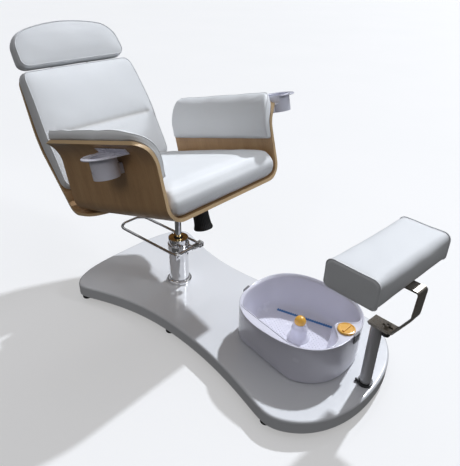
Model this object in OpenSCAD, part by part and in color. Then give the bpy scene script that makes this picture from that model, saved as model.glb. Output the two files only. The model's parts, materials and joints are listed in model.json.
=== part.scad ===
// Pedicure spa chair: a low platform that carries a swivelling lounge chair on a hydraulic pump,
// a lift-out foot basin and a padded footrest on a post. The origin is on the floor under the
// pump's axis, the sitter faces -Y and +Z is up. Lengths are in millimetres, angles in degrees.

/* [Platform] */
// Height of the platform's top above the floor
top_z = 78; // [70:1:95]
// Height of the bottom edge of the platform's side wall above the floor
skirt_z = 25; // [15:1:35]
// Y of the platform's rear edge
rear_y = 379; // [360:1:420]
// Y of the platform's front tip
front_y = -957; // [-1000:1:-940]
// Half width that the two lobes of the platform grow towards
lobe_half_w = 345; // [330:1:365]
// Half width of the waist
waist_half_w = 236; // [220:1:260]
// Y of the waist
waist_y = -160; // [-190:1:-130]
// Radius of the waist's hollow side towards the rear
rear_flare_r = 930; // [850:5:1000]
// Radius of the waist's hollow side towards the front
front_flare_r = 1550; // [1450:5:1700]
// Wall of the moulded platform cover
cover_wall = 4; // [3:0.5:6]
// Radius of the cover's top edge
cover_edge_r = 8; // [4:1:12]
// Thickness of the wooden board inside the platform
board_t = 18; // [15:1:21]
// Radius of a rubber foot at its top
foot_r = 22; // [18:1:24]
// Radius of the middle foot, under the pump
centre_foot_r = 35; // [28:1:42]

/* [Pump] */
// Outer radius of the pump's cylinder
pump_r = 43; // [40:0.5:48]
// Height of the cylinder's top above the platform
pump_h = 219; // [200:1:240]
// Wall of the cylinder
pump_wall = 4; // [3:0.5:5]
// Radius of the flange that bolts under the board
flange_r = 95; // [85:1:110]
// Thickness of that flange
flange_t = 8; // [6:1:10]
// Outer radius of the chrome trim ring round the cylinder's foot
trim_r = 54.5; // [52:0.5:60]
// Height of the trim ring
trim_h = 16; // [12:1:20]
// Radius of the piston rod
rod_r = 13.5; // [12:0.5:15]
// Radius of the piston
piston_r = 23; // [20:0.5:26]
// Height of the rod's shoulder above the cylinder's top, at rest
shoulder_gap = 105; // [100:1:120]

/* [Pedal lever] */
// Height of the lever's shaft above the platform
lever_h = 178; // [165:1:190]
// Distance of the lever's shaft in front of the pump's axis
lever_reach = 60; // [58:1:70]
// Radius of the bent rod
lever_rod_r = 6; // [5:0.5:7]
// Half the distance between the lever's two arms
lever_half_w = 70; // [64:1:80]
// Y of the loop's rear end
lever_rear_y = 326; // [280:1:340]
// Bend radius of the loop's corners
lever_bend_r = 45; // [30:1:55]
// Radius of the shaft
shaft_r = 8; // [7:0.5:9]

/* [Seat shell] */
// Height of the seat shell's upper face above the floor, over the pump's axis
seat_z = 508; // [495:1:530]
// Backward tilt of the seat
seat_angle = 15; // [10:0.5:18]
// Half width over the outside of the arms
arm_half_w = 303; // [295:1:320]
// Radius of the bend between seat and arm, outside
seat_bend_r = 68; // [58:1:74]
// Thickness of the bent plywood
ply_t = 13; // [10:0.5:15]
// Height above the shell's seat face where the arm starts to curl outwards
curl_h = 195; // [185:1:210]
// Radius of the curl, outside
curl_r = 100; // [85:1:110]
// Angle of the curl
curl_angle = 62.5; // [50:0.5:70]
// Slope of the arms' upper edges against the seat, lower at the front
arm_slope = 1.8; // [0:0.1:3]
// Front edge of the shell, measured along the seat from the pump's axis
shell_front = 298; // [280:1:310]
// Rear edge of the shell, measured the same way
shell_rear = -278; // [-300:1:-265]
// Corner radius at the top front of the arms
arm_front_r = 44; // [35:1:90]
// Corner radius at the top rear of the arms
arm_rear_r = 42; // [30:1:60]

/* [Back shell] */
// Thickness of the back's plywood
back_t = 12; // [10:0.5:14]
// Lean of the upper back from a line square to the seat
back_lean = 13.7; // [10:0.1:18]
// Height of the back shell's top edge above the seat shell's underside
back_top_h = 560; // [540:1:580]
// Height of the bend where the lower back starts to lean more
back_knee_h = 240; // [220:1:260]
// Lean of the lower back
back_lower_lean = 23.7; // [20:0.1:28]
// Place of the knee along the seat
back_knee_s = -455; // [-470:1:-440]
// Radius of the bend that turns the back under the seat
back_bend_r = 62; // [50:1:90]
// Front end of the back shell's tongue under the seat
tongue_end = -165; // [-175:1:-155]
// Half width of the back shell at its top
back_top_half_w = 262; // [250:1:275]
// Half width of the back shell at its widest
back_mid_half_w = 288; // [276:1:291]

/* [Cushions] */
// Crown of the seat cushion above its edge
seat_crown = 9; // [4:1:16]
// Height of the seat cushion's top edge above the shell's seat face
seat_cushion_h = 121; // [105:1:130]
// Clearance of the cushions from what they lie on
soft_gap = 0.4; // [0.3:0.1:1]
// Thickness of the back cushion where it is thickest
back_cushion_t = 78; // [65:1:85]
// Thickness of the back cushion at its lower edge
back_foot_t = 38; // [30:1:50]
// Thickness of the back cushion at its upper edge
back_head_t = 57; // [45:1:65]
// Half width of the back cushion at its widest
back_cushion_half_w = 290; // [280:1:296]
// Half width of the back cushion at its top
back_cushion_top_half_w = 272; // [255:1:280]
// Bottom of the back cushion above the shell's seat face
back_cushion_low = 72; // [66:1:85]
// Half width of the headrest pad
head_half_w = 262; // [240:1:275]
// Height of the headrest pad in its middle
head_h = 186; // [165:1:195]
// Drop of the headrest pad's upper edge from its middle to its sides
head_arch = 44; // [20:1:50]
// Thickness of the headrest pad at its lower edge
head_t = 60; // [50:1:70]
// Thickness of the headrest pad at its upper edge
head_top_t = 48; // [40:1:55]
// Thickness of the arm pads on the inner face of the arms
arm_pad_t = 30; // [18:1:34]
// Thickness of the arm pads on top of the arms
arm_pad_top_t = 45; // [34:1:56]
// Lower edge of the arm pads above the shell's seat face
arm_pad_low = 156; // [140:1:165]

/* [Tilt mechanism] */
// Depth of the tilt pin below the shell's underside
pin_drop = 45; // [42:1:50]
// Radius of the tilt pin
pin_r = 6; // [5:0.5:7]
// Distance of the tension bolt in front of the pin, along the seat
bolt_s = 116; // [105:1:125]
// Radius of the tension bolt
bolt_r = 5; // [4:0.5:6]
// Distance of the tension knob's top below the socket's arm
knob_gap = 33; // [28:1:40]
// Outer radius of the tension knob at its top
knob_r = 31.5; // [28:0.5:34]
// Outer radius of the knob's flared lower end
knob_flare_r = 39; // [35:0.5:42]
// Length of the knob
knob_len = 75; // [66:1:80]
// Wire radius of the tension spring
spring_wire_r = 2; // [1.5:0.25:2.5]
// Number of turns of the tension spring
spring_turns = 7; // [5:1:9]

/* [Cup holders] */
// Inner radius of the cup
cup_r = 43; // [38:0.5:45]
// Wall of the cup
cup_wall = 3; // [2:0.5:4]
// Radius of the flared rim
cup_rim_r = 64; // [55:1:68]
// Distance of a cup's middle outside the arm, on the sitter's right
cup_right_out = 64; // [60:1:75]
// Place of that cup along the arm
cup_right_s = 101; // [60:1:140]
// Height of its rim
cup_right_h = 248; // [230:1:255]
// Depth inside it
cup_right_depth = 70; // [55:1:80]
// Length of the straight side of its rim along the arm
cup_right_flat = 170; // [130:1:190]
// Rise of its flange up the arm above the rim
cup_rise = 18; // [10:1:24]
// Distance of a cup's middle outside the arm, on the sitter's left
cup_left_out = 88; // [84:1:95]
// Place of that cup along the arm
cup_left_s = 268; // [200:1:275]
// Height of its rim
cup_left_h = 311; // [296:1:316]
// Depth inside it
cup_left_depth = 62; // [55:1:68]
// Length of the straight side of its rim along the arm
cup_left_flat = 110; // [90:1:140]

/* [Foot basin] */
// Centre of the basin, sideways from the pump's axis
tub_x = 19; // [0:1:24]
// Centre of the basin, along Y
tub_y = -624; // [-630:1:-610]
// Turn of the basin about the vertical
tub_turn = -2.8; // [-8:0.1:4]
// Half width of the oval rim
tub_half_w = 200; // [185:1:205]
// Half length of the oval rim
tub_half_l = 223; // [205:1:226]
// Height of the basin's rim above the platform
tub_h = 157; // [140:1:170]
// Wall of the mouldings
tub_wall = 3; // [2.5:0.5:4]
// Height of the basin's own rubber feet
tub_foot_h = 4; // [3:1:7]
// Radius of the round cap on the front deck
cap_r = 32; // [29:1:32]
// Radius of the massage ball
ball_r = 22; // [18:0.5:24]
// Height of the ball's centre above the basin's floor
ball_h = 77; // [70:1:90]

/* [Footrest] */
// Distance of the post in front of the pump's axis
post_reach = 920; // [910:1:925]
// Outer radius of the post
post_r = 20; // [18:0.5:22]
// Wall of the post
post_wall = 3; // [2:0.5:4]
// Height of the post's top above the platform
post_h = 257; // [235:1:280]
// Turn of the footrest about the post
footrest_turn = -6; // [-20:1:20]
// Length of the footrest pad
rest_len = 398; // [350:1:420]
// Width of the footrest pad
rest_w = 176; // [150:1:180]
// Height of the footrest pad
rest_t = 96; // [80:1:105]
// Width of the bracket's flat bar
bar_w = 50; // [40:1:60]
// Thickness of that bar
bar_t = 6; // [5:0.5:8]
// Height inside the bracket, between its two legs
bracket_h = 178; // [165:1:200]
// Reach of the bracket in front of the post
bracket_reach = 116; // [108:1:125]

/* [Fits] */
// Radial clearance of a sliding or turning shaft in its bore
run_gap = 0.08; // [0.04:0.01:0.1]
// Radial clearance of a screw or bolt in its hole
screw_gap = 0.3; // [0.2:0.05:0.5]

/* [Hidden] */
$fn = 64;

// Heights of the platform's layers
board_top = top_z - cover_wall;
board_low = board_top - board_t;
flange_low = board_low - flange_t;
pump_top = top_z + pump_h;

// Pump internals
pump_bore_r = pump_r - pump_wall;
core_wall = 4;
core_r = piston_r + run_gap + core_wall;
gland_t = 12;
piston_h = 30;
piston_low = 170;
shoulder_z = pump_top + shoulder_gap;
shoulder_r = 19;
shoulder_t = 6;
washer_r = 22;
washer_t = 3.5;
rod_top = shoulder_z + shoulder_t + 39;
flange_bolt_pcd_r = 75;
flange_bolt_r = 5;

// Lever
lever_z = top_z + lever_h;
clamp_size = 24;
ear_x = 22;
ear_t = 6;

// Seat frame: s runs forwards along the seat, h is square to it, both from a point on the pump's axis
curl_x = arm_half_w + curl_r;
arm_top_h = curl_h + (curl_r + ply_t) * sin(curl_angle);
shell_in_x = arm_half_w - ply_t;
case_t = 6;
bolt_head_t = 6;
case_low = -ply_t - case_t;
arm_h = case_low - bolt_head_t - 5;
lever_arm_t = 10;
knob_top_h = arm_h - lever_arm_t - knob_gap;
knob_floor_t = 14;

// Cushions
seat_cushion_front = shell_front + 8;
seat_cushion_rear = -334;
seat_cushion_half_w = shell_in_x - 6;
back_corner_r = 38;
head_low = -2;
back_cushion_high_z = -9;

// Basin
tub_low = top_z + tub_foot_h;
tub_top = top_z + tub_h;
tub_floor_z = tub_low + 9;
tub_power = 2.41;
cap_inset = 40;
cap_reach = tub_half_l - cap_inset;
boss_spread = 46;

// Footrest
post_y = -post_reach;
post_margin = 37;
tub_to_post = 73;
front_end = min(front_y, post_y - post_margin);
tub_place = max(tub_y, post_y + tub_half_l + tub_to_post);
post_top = top_z + post_h;
plug_t = 6;
head_plate_t = 4;
leg_low = post_top + plug_t + head_plate_t;
leg_top = leg_low + bar_t + bracket_h;
stud_v = 34;
stud_r = 4;
slot_travel = 14;
rest_board_t = 10;

// ---------- Paths, outlines and skins ----------

function unit(v) = v / norm(v);
function left_of(v) = [-v[1], v[0]];
function lerp(a, b, t) = a + (b - a) * t;
function reversed(list) = [for (i = [len(list) - 1:-1:0]) list[i]];

// Smaller of two values, rounded over where they are within about k of each other
function soft_min(a, b, k) = min(a, b) - k * ln(1 + exp(-abs(a - b) / k));

// Arc of radius r that rounds the corner at b between a and c
function corner_arc(a, b, c, r, steps = 8) =
    let (d1 = unit(b - a), d2 = unit(c - b),
         turn = atan2(d1[0] * d2[1] - d1[1] * d2[0], d1 * d2),
         start = b - d1 * r * tan(abs(turn) / 2),
         side = turn > 0 ? 1 : -1,
         mid = start + left_of(d1) * side * r,
         arm = start - mid)
    [for (i = [0:steps]) let (q = turn * i / steps)
        mid + [arm[0] * cos(q) - arm[1] * sin(q), arm[0] * sin(q) + arm[1] * cos(q)]];

// Open path through the points with each inner corner rounded to its radius
function rounded_path(pts, radii) = [
    pts[0],
    for (i = [1:len(pts) - 2])
        each (radii[i - 1] > 0 ? corner_arc(pts[i - 1], pts[i], pts[i + 1], radii[i - 1]) : [pts[i]]),
    pts[len(pts) - 1]
];

// Closed outline through the points with each corner rounded to its radius
function rounded_outline(pts, radii) = [
    for (i = [0:len(pts) - 1])
        each (radii[i] > 0
            ? corner_arc(pts[(i + len(pts) - 1) % len(pts)], pts[i], pts[(i + 1) % len(pts)], radii[i])
            : [pts[i]])
];

// Normal at point i of an open path, to the left of its direction
function path_normal(path, i) =
    let (a = path[max(i - 1, 0)], b = path[min(i + 1, len(path) - 1)]) left_of(unit(b - a));
function beside(path, d) = [for (i = [0:len(path) - 1]) path[i] + path_normal(path, i) * d];

// Outline of a strip of thickness t that lies to the left of a path
function strip(path, t) = concat(path, reversed(beside(path, t)));

// A closed outline moved inwards by d, for outlines that run anticlockwise
function inset(outline, d) = [
    for (i = [0:len(outline) - 1])
        let (n = len(outline), a = outline[(i + n - 1) % n], b = outline[(i + 1) % n])
        outline[i] + left_of(unit(b - a)) * d
];

function at_height(outline, z) = [for (p = outline) [p[0], p[1], z]];

// Point of a superellipse at angle q
function power_of(v, n) = sign(v) * pow(abs(v), 2 / n);
function superellipse(a, b, n, m) =
    [for (i = [0:m - 1]) let (q = 360 * (i + 0.5) / m) [a * power_of(cos(q), n), b * power_of(sin(q), n)]];

function middle(ring) = [for (k = [0:2]) [for (p = ring) p[k]] * [for (p = ring) 1] / len(ring)];

// Solid whose skin runs through rings of equally many points, closed by a fan at each end
module skin(rings) {
    m = len(rings[0]);
    n = len(rings);
    points = concat([for (r = rings) each r], [middle(rings[0]), middle(rings[n - 1])]);
    faces = concat(
        [for (i = [0:m - 1]) [n * m, i, (i + 1) % m]],
        [for (r = [0:n - 2], i = [0:m - 1])
            let (a = r * m + i, b = r * m + (i + 1) % m) each [[a, a + m, b + m], [a, b + m, b]]],
        [for (i = [0:m - 1]) [n * m + 1, (n - 1) * m + (i + 1) % m, (n - 1) * m + i]]
    );
    polyhedron(points, faces, convexity = 8);
}

// Unbroken coil of round wire up the z axis: mean radius r, height of the wire's middle, and turns
function coil_ring(r, wire_r, high, turns, i, sides) =
    let (q = 45 * i, out = [cos(q), sin(q), 0],
         along = unit([-sin(q) * r * 2 * PI, cos(q) * r * 2 * PI, high / turns]), w = cross(along, out))
    [for (k = [0:sides - 1])
        out * r + [0, 0, high * i / (8 * turns)]
            + wire_r * (cos(360 * k / sides) * out + sin(360 * k / sides) * w)];
module coil(r, wire_r, high, turns, sides = 6) {
    skin([for (i = [0:8 * turns]) coil_ring(r, wire_r, high, turns, i, sides)]);
}

// ---------- Frames ----------

// Places children that are drawn with x across, y backwards along the seat and z square to it
module on_seat() translate([0, 0, seat_z]) rotate([-seat_angle, 0, 0]) children();

// The same frame turned to the slope of the arms
module on_arm() on_seat() rotate([arm_slope, 0, 0]) children();

// Places children on the back: z runs up the rear face of the upper back from its top edge, y backwards
back_top_s = back_knee_s - (back_top_h - back_knee_h) * tan(back_lean);
module on_back() on_seat() translate([0, -back_top_s, back_top_h]) rotate([-back_lean, 0, 0]) children();

module on_tub() translate([tub_x, tub_place, 0]) rotate([0, 0, tub_turn]) children();

module on_post() translate([0, post_y, 0]) rotate([0, 0, footrest_turn]) children();

// Extrudes an outline of (across, height) points along the seat from s0 to s1
module along_seat(s0, s1) rotate([90, 0, 0]) translate([0, 0, s0]) linear_extrude(s1 - s0) children();

// Extrudes an outline of (forward, height) points across, to both sides of the middle plane
module across(width) rotate([90, 0, -90]) linear_extrude(width, center = true) children();

// ---------- Platform ----------

function flare(y) =
    waist_half_w + pow(y - waist_y, 2) / (2 * (y > waist_y ? rear_flare_r : front_flare_r));
function end_width(t, n) = lobe_half_w * pow(max(0, 1 - pow(t, n)), 1 / n);
rear_lobe_l = 179;
front_lobe_l = 267;
function lobe(y) =
    y > rear_y - rear_lobe_l ? end_width((y - rear_y + rear_lobe_l) / rear_lobe_l, 3.2)
    : y < front_end + front_lobe_l ? end_width((front_end + front_lobe_l - y) / front_lobe_l, 2.2)
    : lobe_half_w;
function platform_half_w(y) = max(0, soft_min(flare(y), lobe(y), 12));
platform_steps = 60;
function platform_row(i) = (rear_y + front_end) / 2 - (rear_y - front_end) / 2 * cos(180 * i / platform_steps);
platform_outline = [
    for (i = [0:platform_steps]) [platform_half_w(platform_row(i)), platform_row(i)],
    for (i = [platform_steps - 1:-1:1]) [-platform_half_w(platform_row(i)), platform_row(i)]
];

foot_inset = cover_wall + foot_r + 1;
foot_rows = [rear_y - 95, waist_y, front_end + 230];

module at_feet() {
    for (y = foot_rows, side = [-1, 1])
        translate([side * (platform_half_w(y) - foot_inset), y, 0]) children();
}

module at_flange_bolts() {
    for (q = [45:90:315]) rotate([0, 0, q]) translate([flange_bolt_pcd_r, 0, 0]) children();
}

collar_r = post_r + run_gap + 4;

module platform_cover() {
    color("whitesmoke") difference() {
        skin(concat(
            [at_height(inset(platform_outline, cover_wall), board_top),
             at_height(inset(platform_outline, cover_wall), skirt_z),
             at_height(platform_outline, skirt_z)],
            [for (q = [0:30:90])
                at_height(inset(platform_outline, cover_edge_r * (1 - cos(q))),
                          top_z - cover_edge_r * (1 - sin(q)))]
        ));
        cylinder(r = pump_r + run_gap, h = 2 * top_z);
        translate([0, post_y, 0]) cylinder(r = collar_r + run_gap, h = 2 * top_z);
    }
}

module base_board() {
    color("burlywood") difference() {
        translate([0, 0, board_low])
            linear_extrude(board_t) polygon(inset(platform_outline, cover_wall + 1));
        cylinder(r = pump_r + run_gap, h = 2 * top_z);
        at_flange_bolts() cylinder(r = flange_bolt_r + screw_gap, h = board_top - 2);
        translate([0, post_y, 0]) cylinder(r = collar_r + run_gap, h = 2 * top_z);
    }
}

module rubber_feet() {
    color("dimgray") at_feet() rotate_extrude() polygon([
        [0, 0], [foot_r - 5, 0], [foot_r - 3, 2], [foot_r, board_low - 6], [foot_r, board_low], [0, board_low]
    ]);
}

module centre_foot() {
    color("dimgray") rotate_extrude() polygon([
        [0, 0], [centre_foot_r - 2, 0], [centre_foot_r, 2], [centre_foot_r, flange_low], [0, flange_low]
    ]);
}

// ---------- Pump ----------

module pump_cylinder() {
    color("silver") difference() {
        union() {
            translate([0, 0, flange_low]) cylinder(r = flange_r, h = flange_t);
            translate([0, 0, flange_low]) cylinder(r = pump_r, h = pump_top - flange_low);
        }
        translate([0, 0, board_low]) cylinder(r = pump_bore_r, h = pump_top);
        at_flange_bolts() cylinder(r = flange_bolt_r + screw_gap, h = top_z);
    }
}

module pump_core() {
    color("gray") translate([0, 0, board_low]) difference() {
        cylinder(r = core_r, h = pump_top - gland_t - board_low);
        translate([0, 0, -1]) cylinder(r = piston_r + run_gap, h = pump_top);
    }
}

module top_gland() {
    color("gainsboro") translate([0, 0, pump_top - gland_t]) difference() {
        cylinder(r = pump_bore_r - run_gap, h = gland_t);
        translate([0, 0, -1]) cylinder(r = rod_r + run_gap, h = gland_t + 2);
    }
}

module rod_seal() {
    color("black") translate([0, 0, pump_top]) difference() {
        cylinder(r = rod_r + 5, h = 3);
        translate([0, 0, -1]) cylinder(r = rod_r + run_gap, h = 5);
    }
}

module flange_bolts() {
    color("silver") at_flange_bolts() {
        translate([0, 0, flange_low - 6.5]) cylinder(r = 9, h = 6.5, $fn = 6);
        translate([0, 0, flange_low - 1]) cylinder(r = flange_bolt_r, h = board_t + flange_t - 3);
    }
}

module trim_ring() {
    color("silver") translate([0, 0, top_z]) rotate_extrude() polygon([
        [pump_r + run_gap, 0], [trim_r, 0], [trim_r, trim_h - 5], [trim_r - 4, trim_h - 1],
        [trim_r - 7, trim_h], [pump_r + run_gap, trim_h]
    ]);
}

module piston_rod() {
    color("silver") {
        translate([0, 0, piston_low]) cylinder(r = piston_r, h = piston_h);
        translate([0, 0, piston_low]) cylinder(r = rod_r, h = rod_top - piston_low);
        translate([0, 0, shoulder_z]) cylinder(r = shoulder_r, h = shoulder_t);
    }
}

module thrust_washer() {
    color("goldenrod") translate([0, 0, shoulder_z + shoulder_t]) difference() {
        cylinder(r = washer_r, h = washer_t);
        translate([0, 0, -1]) cylinder(r = rod_r + run_gap, h = washer_t + 2);
    }
}

// ---------- Pedal lever ----------

module at_lever() translate([0, -lever_reach, lever_z]) children();

module lever_bracket() {
    color("silver") difference() {
        union() {
            translate([0, 0, lever_z - 11]) cylinder(r = pump_r + 4, h = 22);
            for (side = [-1, 1]) {
                translate([side * ear_x - ear_t / 2, -lever_reach, lever_z - 11])
                    cube([ear_t, lever_reach - pump_r + 8, 22]);
                at_lever() translate([side * ear_x - ear_t / 2, 0, 0])
                    rotate([0, 90, 0]) cylinder(r = 11, h = ear_t);
            }
        }
        translate([0, 0, lever_z - 20]) cylinder(r = pump_r + screw_gap / 3, h = 40);
        at_lever() rotate([0, 90, 0]) cylinder(r = shaft_r + run_gap, h = 80, center = true);
    }
}

module lever_yoke() {
    color("silver") at_lever() difference() {
        union() {
            rotate([0, 90, 0]) cylinder(r = shaft_r, h = 2 * lever_half_w - clamp_size + 2, center = true);
            for (side = [-1, 1]) translate([side * lever_half_w, 0, 0])
                cube([clamp_size, clamp_size, clamp_size - 2], center = true);
        }
        for (side = [-1, 1]) {
            translate([side * lever_half_w, 0, 0])
                rotate([90, 0, 0]) cylinder(r = lever_rod_r + screw_gap / 3, h = 60, center = true);
            translate([side * lever_half_w, 0, lever_rod_r + 1])
                cylinder(r = 3 + screw_gap, h = 20);
        }
    }
}

module lever_loop() {
    bend_y = lever_rear_y - lever_bend_r;
    color("silver") translate([0, 0, lever_z]) {
        for (side = [-1, 1]) {
            translate([side * lever_half_w, bend_y, 0])
                rotate([90, 0, 0]) cylinder(r = lever_rod_r, h = bend_y + lever_reach + clamp_size / 2 + 4);
            translate([side * (lever_half_w - lever_bend_r), bend_y, 0])
                rotate([0, 0, side > 0 ? 0 : 90])
                    rotate_extrude(angle = 90) translate([lever_bend_r, 0]) circle(r = lever_rod_r);
        }
        translate([0, lever_rear_y, 0])
            rotate([0, 90, 0]) cylinder(r = lever_rod_r, h = 2 * (lever_half_w - lever_bend_r), center = true);
    }
}

// Torsion spring on the shaft, between a bracket ear and the yoke's clamp
module lever_spring() {
    wire_r = 1.5;
    from = ear_x + ear_t / 2 + wire_r + 0.3;
    to = lever_half_w - clamp_size / 2 - wire_r - 0.3;
    color("dimgray") at_lever() translate([from, 0, 0]) rotate([0, 90, 0])
        coil(shaft_r + wire_r + 1, wire_r, to - from, 5);
}

module yoke_bolts() {
    color("gray") for (side = [-1, 1]) translate([side * lever_half_w, -lever_reach, lever_z]) {
        translate([0, 0, lever_rod_r + 1.2]) cylinder(r = 3, h = 10);
        translate([0, 0, clamp_size / 2 - 1]) cylinder(r = 5.5, h = 5, $fn = 6);
    }
}

// ---------- Column socket and tilt mechanism ----------

pin_y = pin_drop * -sin(seat_angle);
pin_z = seat_z - pin_drop * cos(seat_angle);
socket_low = shoulder_z + shoulder_t + washer_t + 0.2;
socket_top = rod_top + 6;

module column_socket() {
    lug_w = 44.4;
    color("dimgray") difference() {
        union() {
            translate([0, 0, socket_low]) cylinder(r = lug_w / 2, h = socket_top - socket_low);
            translate([-lug_w / 2, pin_y - 17, rod_top + 1]) cube([lug_w, 34, pin_z - rod_top - 1]);
            translate([0, pin_y, pin_z]) rotate([0, 90, 0]) cylinder(r = 17, h = lug_w, center = true);
            on_seat() translate([-20, -bolt_s - 20, arm_h - lever_arm_t]) cube([40, bolt_s + 15, lever_arm_t]);
        }
        translate([0, 0, socket_low - 1]) cylinder(r = rod_r + run_gap, h = rod_top - socket_low + 1.3);
        translate([0, pin_y, pin_z]) rotate([0, 90, 0]) cylinder(r = pin_r + run_gap, h = 80, center = true);
        on_seat() translate([0, -bolt_s, arm_h - lever_arm_t / 2])
            cube([2 * bolt_r + 4, 30, lever_arm_t + 4], center = true);
    }
}

case_half_w = 85;
case_rear = -60;
case_front = 150;
case_screws = [[-65, -40], [65, -40], [-65, 130], [65, 130]];
tongue_screws = [[-90, -195], [90, -195], [-90, -255], [90, -255]];
seat_screw_r = 3;

module tilt_case() {
    color("dimgray") on_seat() difference() {
        union() {
            translate([-case_half_w, -case_front, case_low])
                cube([2 * case_half_w, case_front - case_rear, case_t]);
            for (side = [-1, 1]) {
                translate([side * (case_half_w - 2) - 2, -case_front, case_low - 15])
                    cube([4, case_front - case_rear, 15 + case_t / 2]);
                translate([side * 25.5 - 3, -14, -pin_drop]) cube([6, 28, pin_drop + case_low + case_t / 2]);
                translate([side * 25.5, 0, -pin_drop])
                    rotate([0, 90, 0]) cylinder(r = 14, h = 6, center = true);
            }
        }
        translate([0, 0, -pin_drop]) rotate([0, 90, 0]) cylinder(r = pin_r + run_gap, h = 80, center = true);
        for (p = case_screws) translate([p[0], -p[1], case_low - 9]) cylinder(r = seat_screw_r + screw_gap, h = 20);
    }
}

module tilt_pin() {
    color("silver") on_seat() translate([0, 0, -pin_drop]) rotate([0, 90, 0]) {
        cylinder(r = pin_r, h = 64, center = true);
        for (side = [-1, 1]) translate([0, 0, side * 31]) cylinder(r = 9, h = 4, center = true);
    }
}

module at_bolt() on_seat() translate([0, -bolt_s, 0]) children();

module tension_bolt() {
    bolt_low = knob_top_h - knob_len + 8;
    color("silver") at_bolt() {
        translate([0, 0, bolt_low]) cylinder(r = bolt_r, h = case_low - bolt_low);
        translate([0, 0, case_low - bolt_head_t]) cylinder(r = 10, h = bolt_head_t, $fn = 6);
    }
}

// Compression spring round the bolt, from the knob's floor up to the socket's arm
module tension_spring() {
    high = arm_h - lever_arm_t - spring_wire_r - 0.3;
    low = knob_top_h - knob_len + knob_floor_t + spring_wire_r + 0.3;
    color("silver") at_bolt() translate([0, 0, low]) coil(15, spring_wire_r, high - low, spring_turns);
}

module tension_knob() {
    low = knob_top_h - knob_len;
    color("black") at_bolt() difference() {
        rotate_extrude() polygon([
            [0, low], [knob_flare_r - 4, low], [knob_flare_r, low + 4], [knob_flare_r - 1, low + 9],
            [knob_r + 3, low + 20], [knob_r + 1.5, low + 32], [knob_r, knob_top_h - 3],
            [knob_r - 3, knob_top_h], [0, knob_top_h]
        ]);
        translate([0, 0, low + knob_floor_t]) cylinder(r = 21, h = knob_len);
        translate([0, 0, low + 6]) cylinder(r = bolt_r + run_gap, h = knob_len);
    }
}

// ---------- Bent plywood ----------

arm_bend = corner_arc([arm_half_w, curl_h], [arm_half_w, -ply_t], [0, -ply_t], seat_bend_r, 10);
seat_section = concat(
    [[-arm_half_w, 120]],
    [for (p = arm_bend) [-p[0], p[1]]],
    reversed(arm_bend),
    [[arm_half_w, 120]]
);
arm_section = concat(
    [[arm_half_w, 85], [arm_half_w, curl_h]],
    [for (i = [1:8]) let (q = curl_angle * i / 8) [curl_x - curl_r * cos(q), curl_h + curl_r * sin(q)]]
);

function arm_line(s) = (arm_top_h + 1 - s * sin(arm_slope)) / cos(arm_slope);
arm_outline = rounded_outline(
    [[shell_rear, -ply_t - 5], [shell_front, -ply_t - 5],
     [shell_front, arm_line(shell_front)], [shell_rear, arm_line(shell_rear)]],
    [0, 0, arm_front_r, arm_rear_r]
);

module seat_shell() {
    color("peru") on_seat() difference() {
        intersection() {
            union() {
                along_seat(shell_rear, shell_front) polygon(strip(seat_section, ply_t));
                for (side = [0, 1]) mirror([side, 0, 0]) rotate([arm_slope, 0, 0])
                    along_seat(shell_rear - 30, shell_front + 30) polygon(strip(arm_section, ply_t));
            }
            across(2 * (curl_x + 20)) polygon(arm_outline);
        }
        for (p = concat(case_screws, tongue_screws))
            translate([p[0], -p[1], -ply_t - 1]) cylinder(r = seat_screw_r + screw_gap, h = ply_t - 1);
        rotate([arm_slope, 0, 0]) cup_bars([0, 1], cup_screw_r + screw_gap, 2, 10);
    }
}

tongue_low = -ply_t - back_t;
lower_run = (back_knee_h - tongue_low) * tan(back_lower_lean);
back_path = rounded_path(
    [[back_top_s, back_top_h], [back_knee_s, back_knee_h], [back_knee_s + lower_run, tongue_low],
     [tongue_end, tongue_low]],
    [100, back_bend_r]
);

// Front face of the back shell at height h
function back_face(h) =
    h > back_knee_h ? back_knee_s - (h - back_knee_h) * tan(back_lean) + back_t / cos(back_lean)
    : back_knee_s + (back_knee_h - h) * tan(back_lower_lean) + back_t / cos(back_lower_lean);

back_outline = rounded_outline(
    [[-back_mid_half_w, tongue_low - 5], [back_mid_half_w, tongue_low - 5], [back_mid_half_w, back_knee_h + 60],
     [back_top_half_w, back_top_h], [-back_top_half_w, back_top_h], [-back_mid_half_w, back_knee_h + 60]],
    [0, 0, 120, 55, 55, 120]
);
tongue_outline = rounded_outline(
    [[-back_mid_half_w, -tongue_end], [back_mid_half_w, -tongue_end], [back_mid_half_w, 700],
     [-back_mid_half_w, 700]],
    [90, 90, 0, 0]
);

module back_shell() {
    color("peru") on_seat() difference() {
        intersection() {
            across(2 * back_mid_half_w + 20) polygon(strip(back_path, back_t));
            along_seat(back_top_s - 30, 0) polygon(back_outline);
            translate([0, 0, tongue_low - 10]) linear_extrude(800) polygon(tongue_outline);
        }
        for (p = tongue_screws)
            translate([p[0], -p[1], tongue_low - 1]) cylinder(r = seat_screw_r + screw_gap, h = back_t + 2);
    }
}

module seat_screw(low) {
    translate([0, 0, low]) cylinder(r = seat_screw_r, h = -3 - low);
    translate([0, 0, low - 3.5]) cylinder(r = 6, h = 3.5);
}

module seat_screws() {
    color("gray") on_seat() {
        for (p = case_screws) translate([p[0], -p[1], 0]) seat_screw(case_low);
        for (p = tongue_screws) translate([p[0], -p[1], 0]) seat_screw(tongue_low);
    }
}

// ---------- Seat, back and arm cushions ----------

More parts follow.
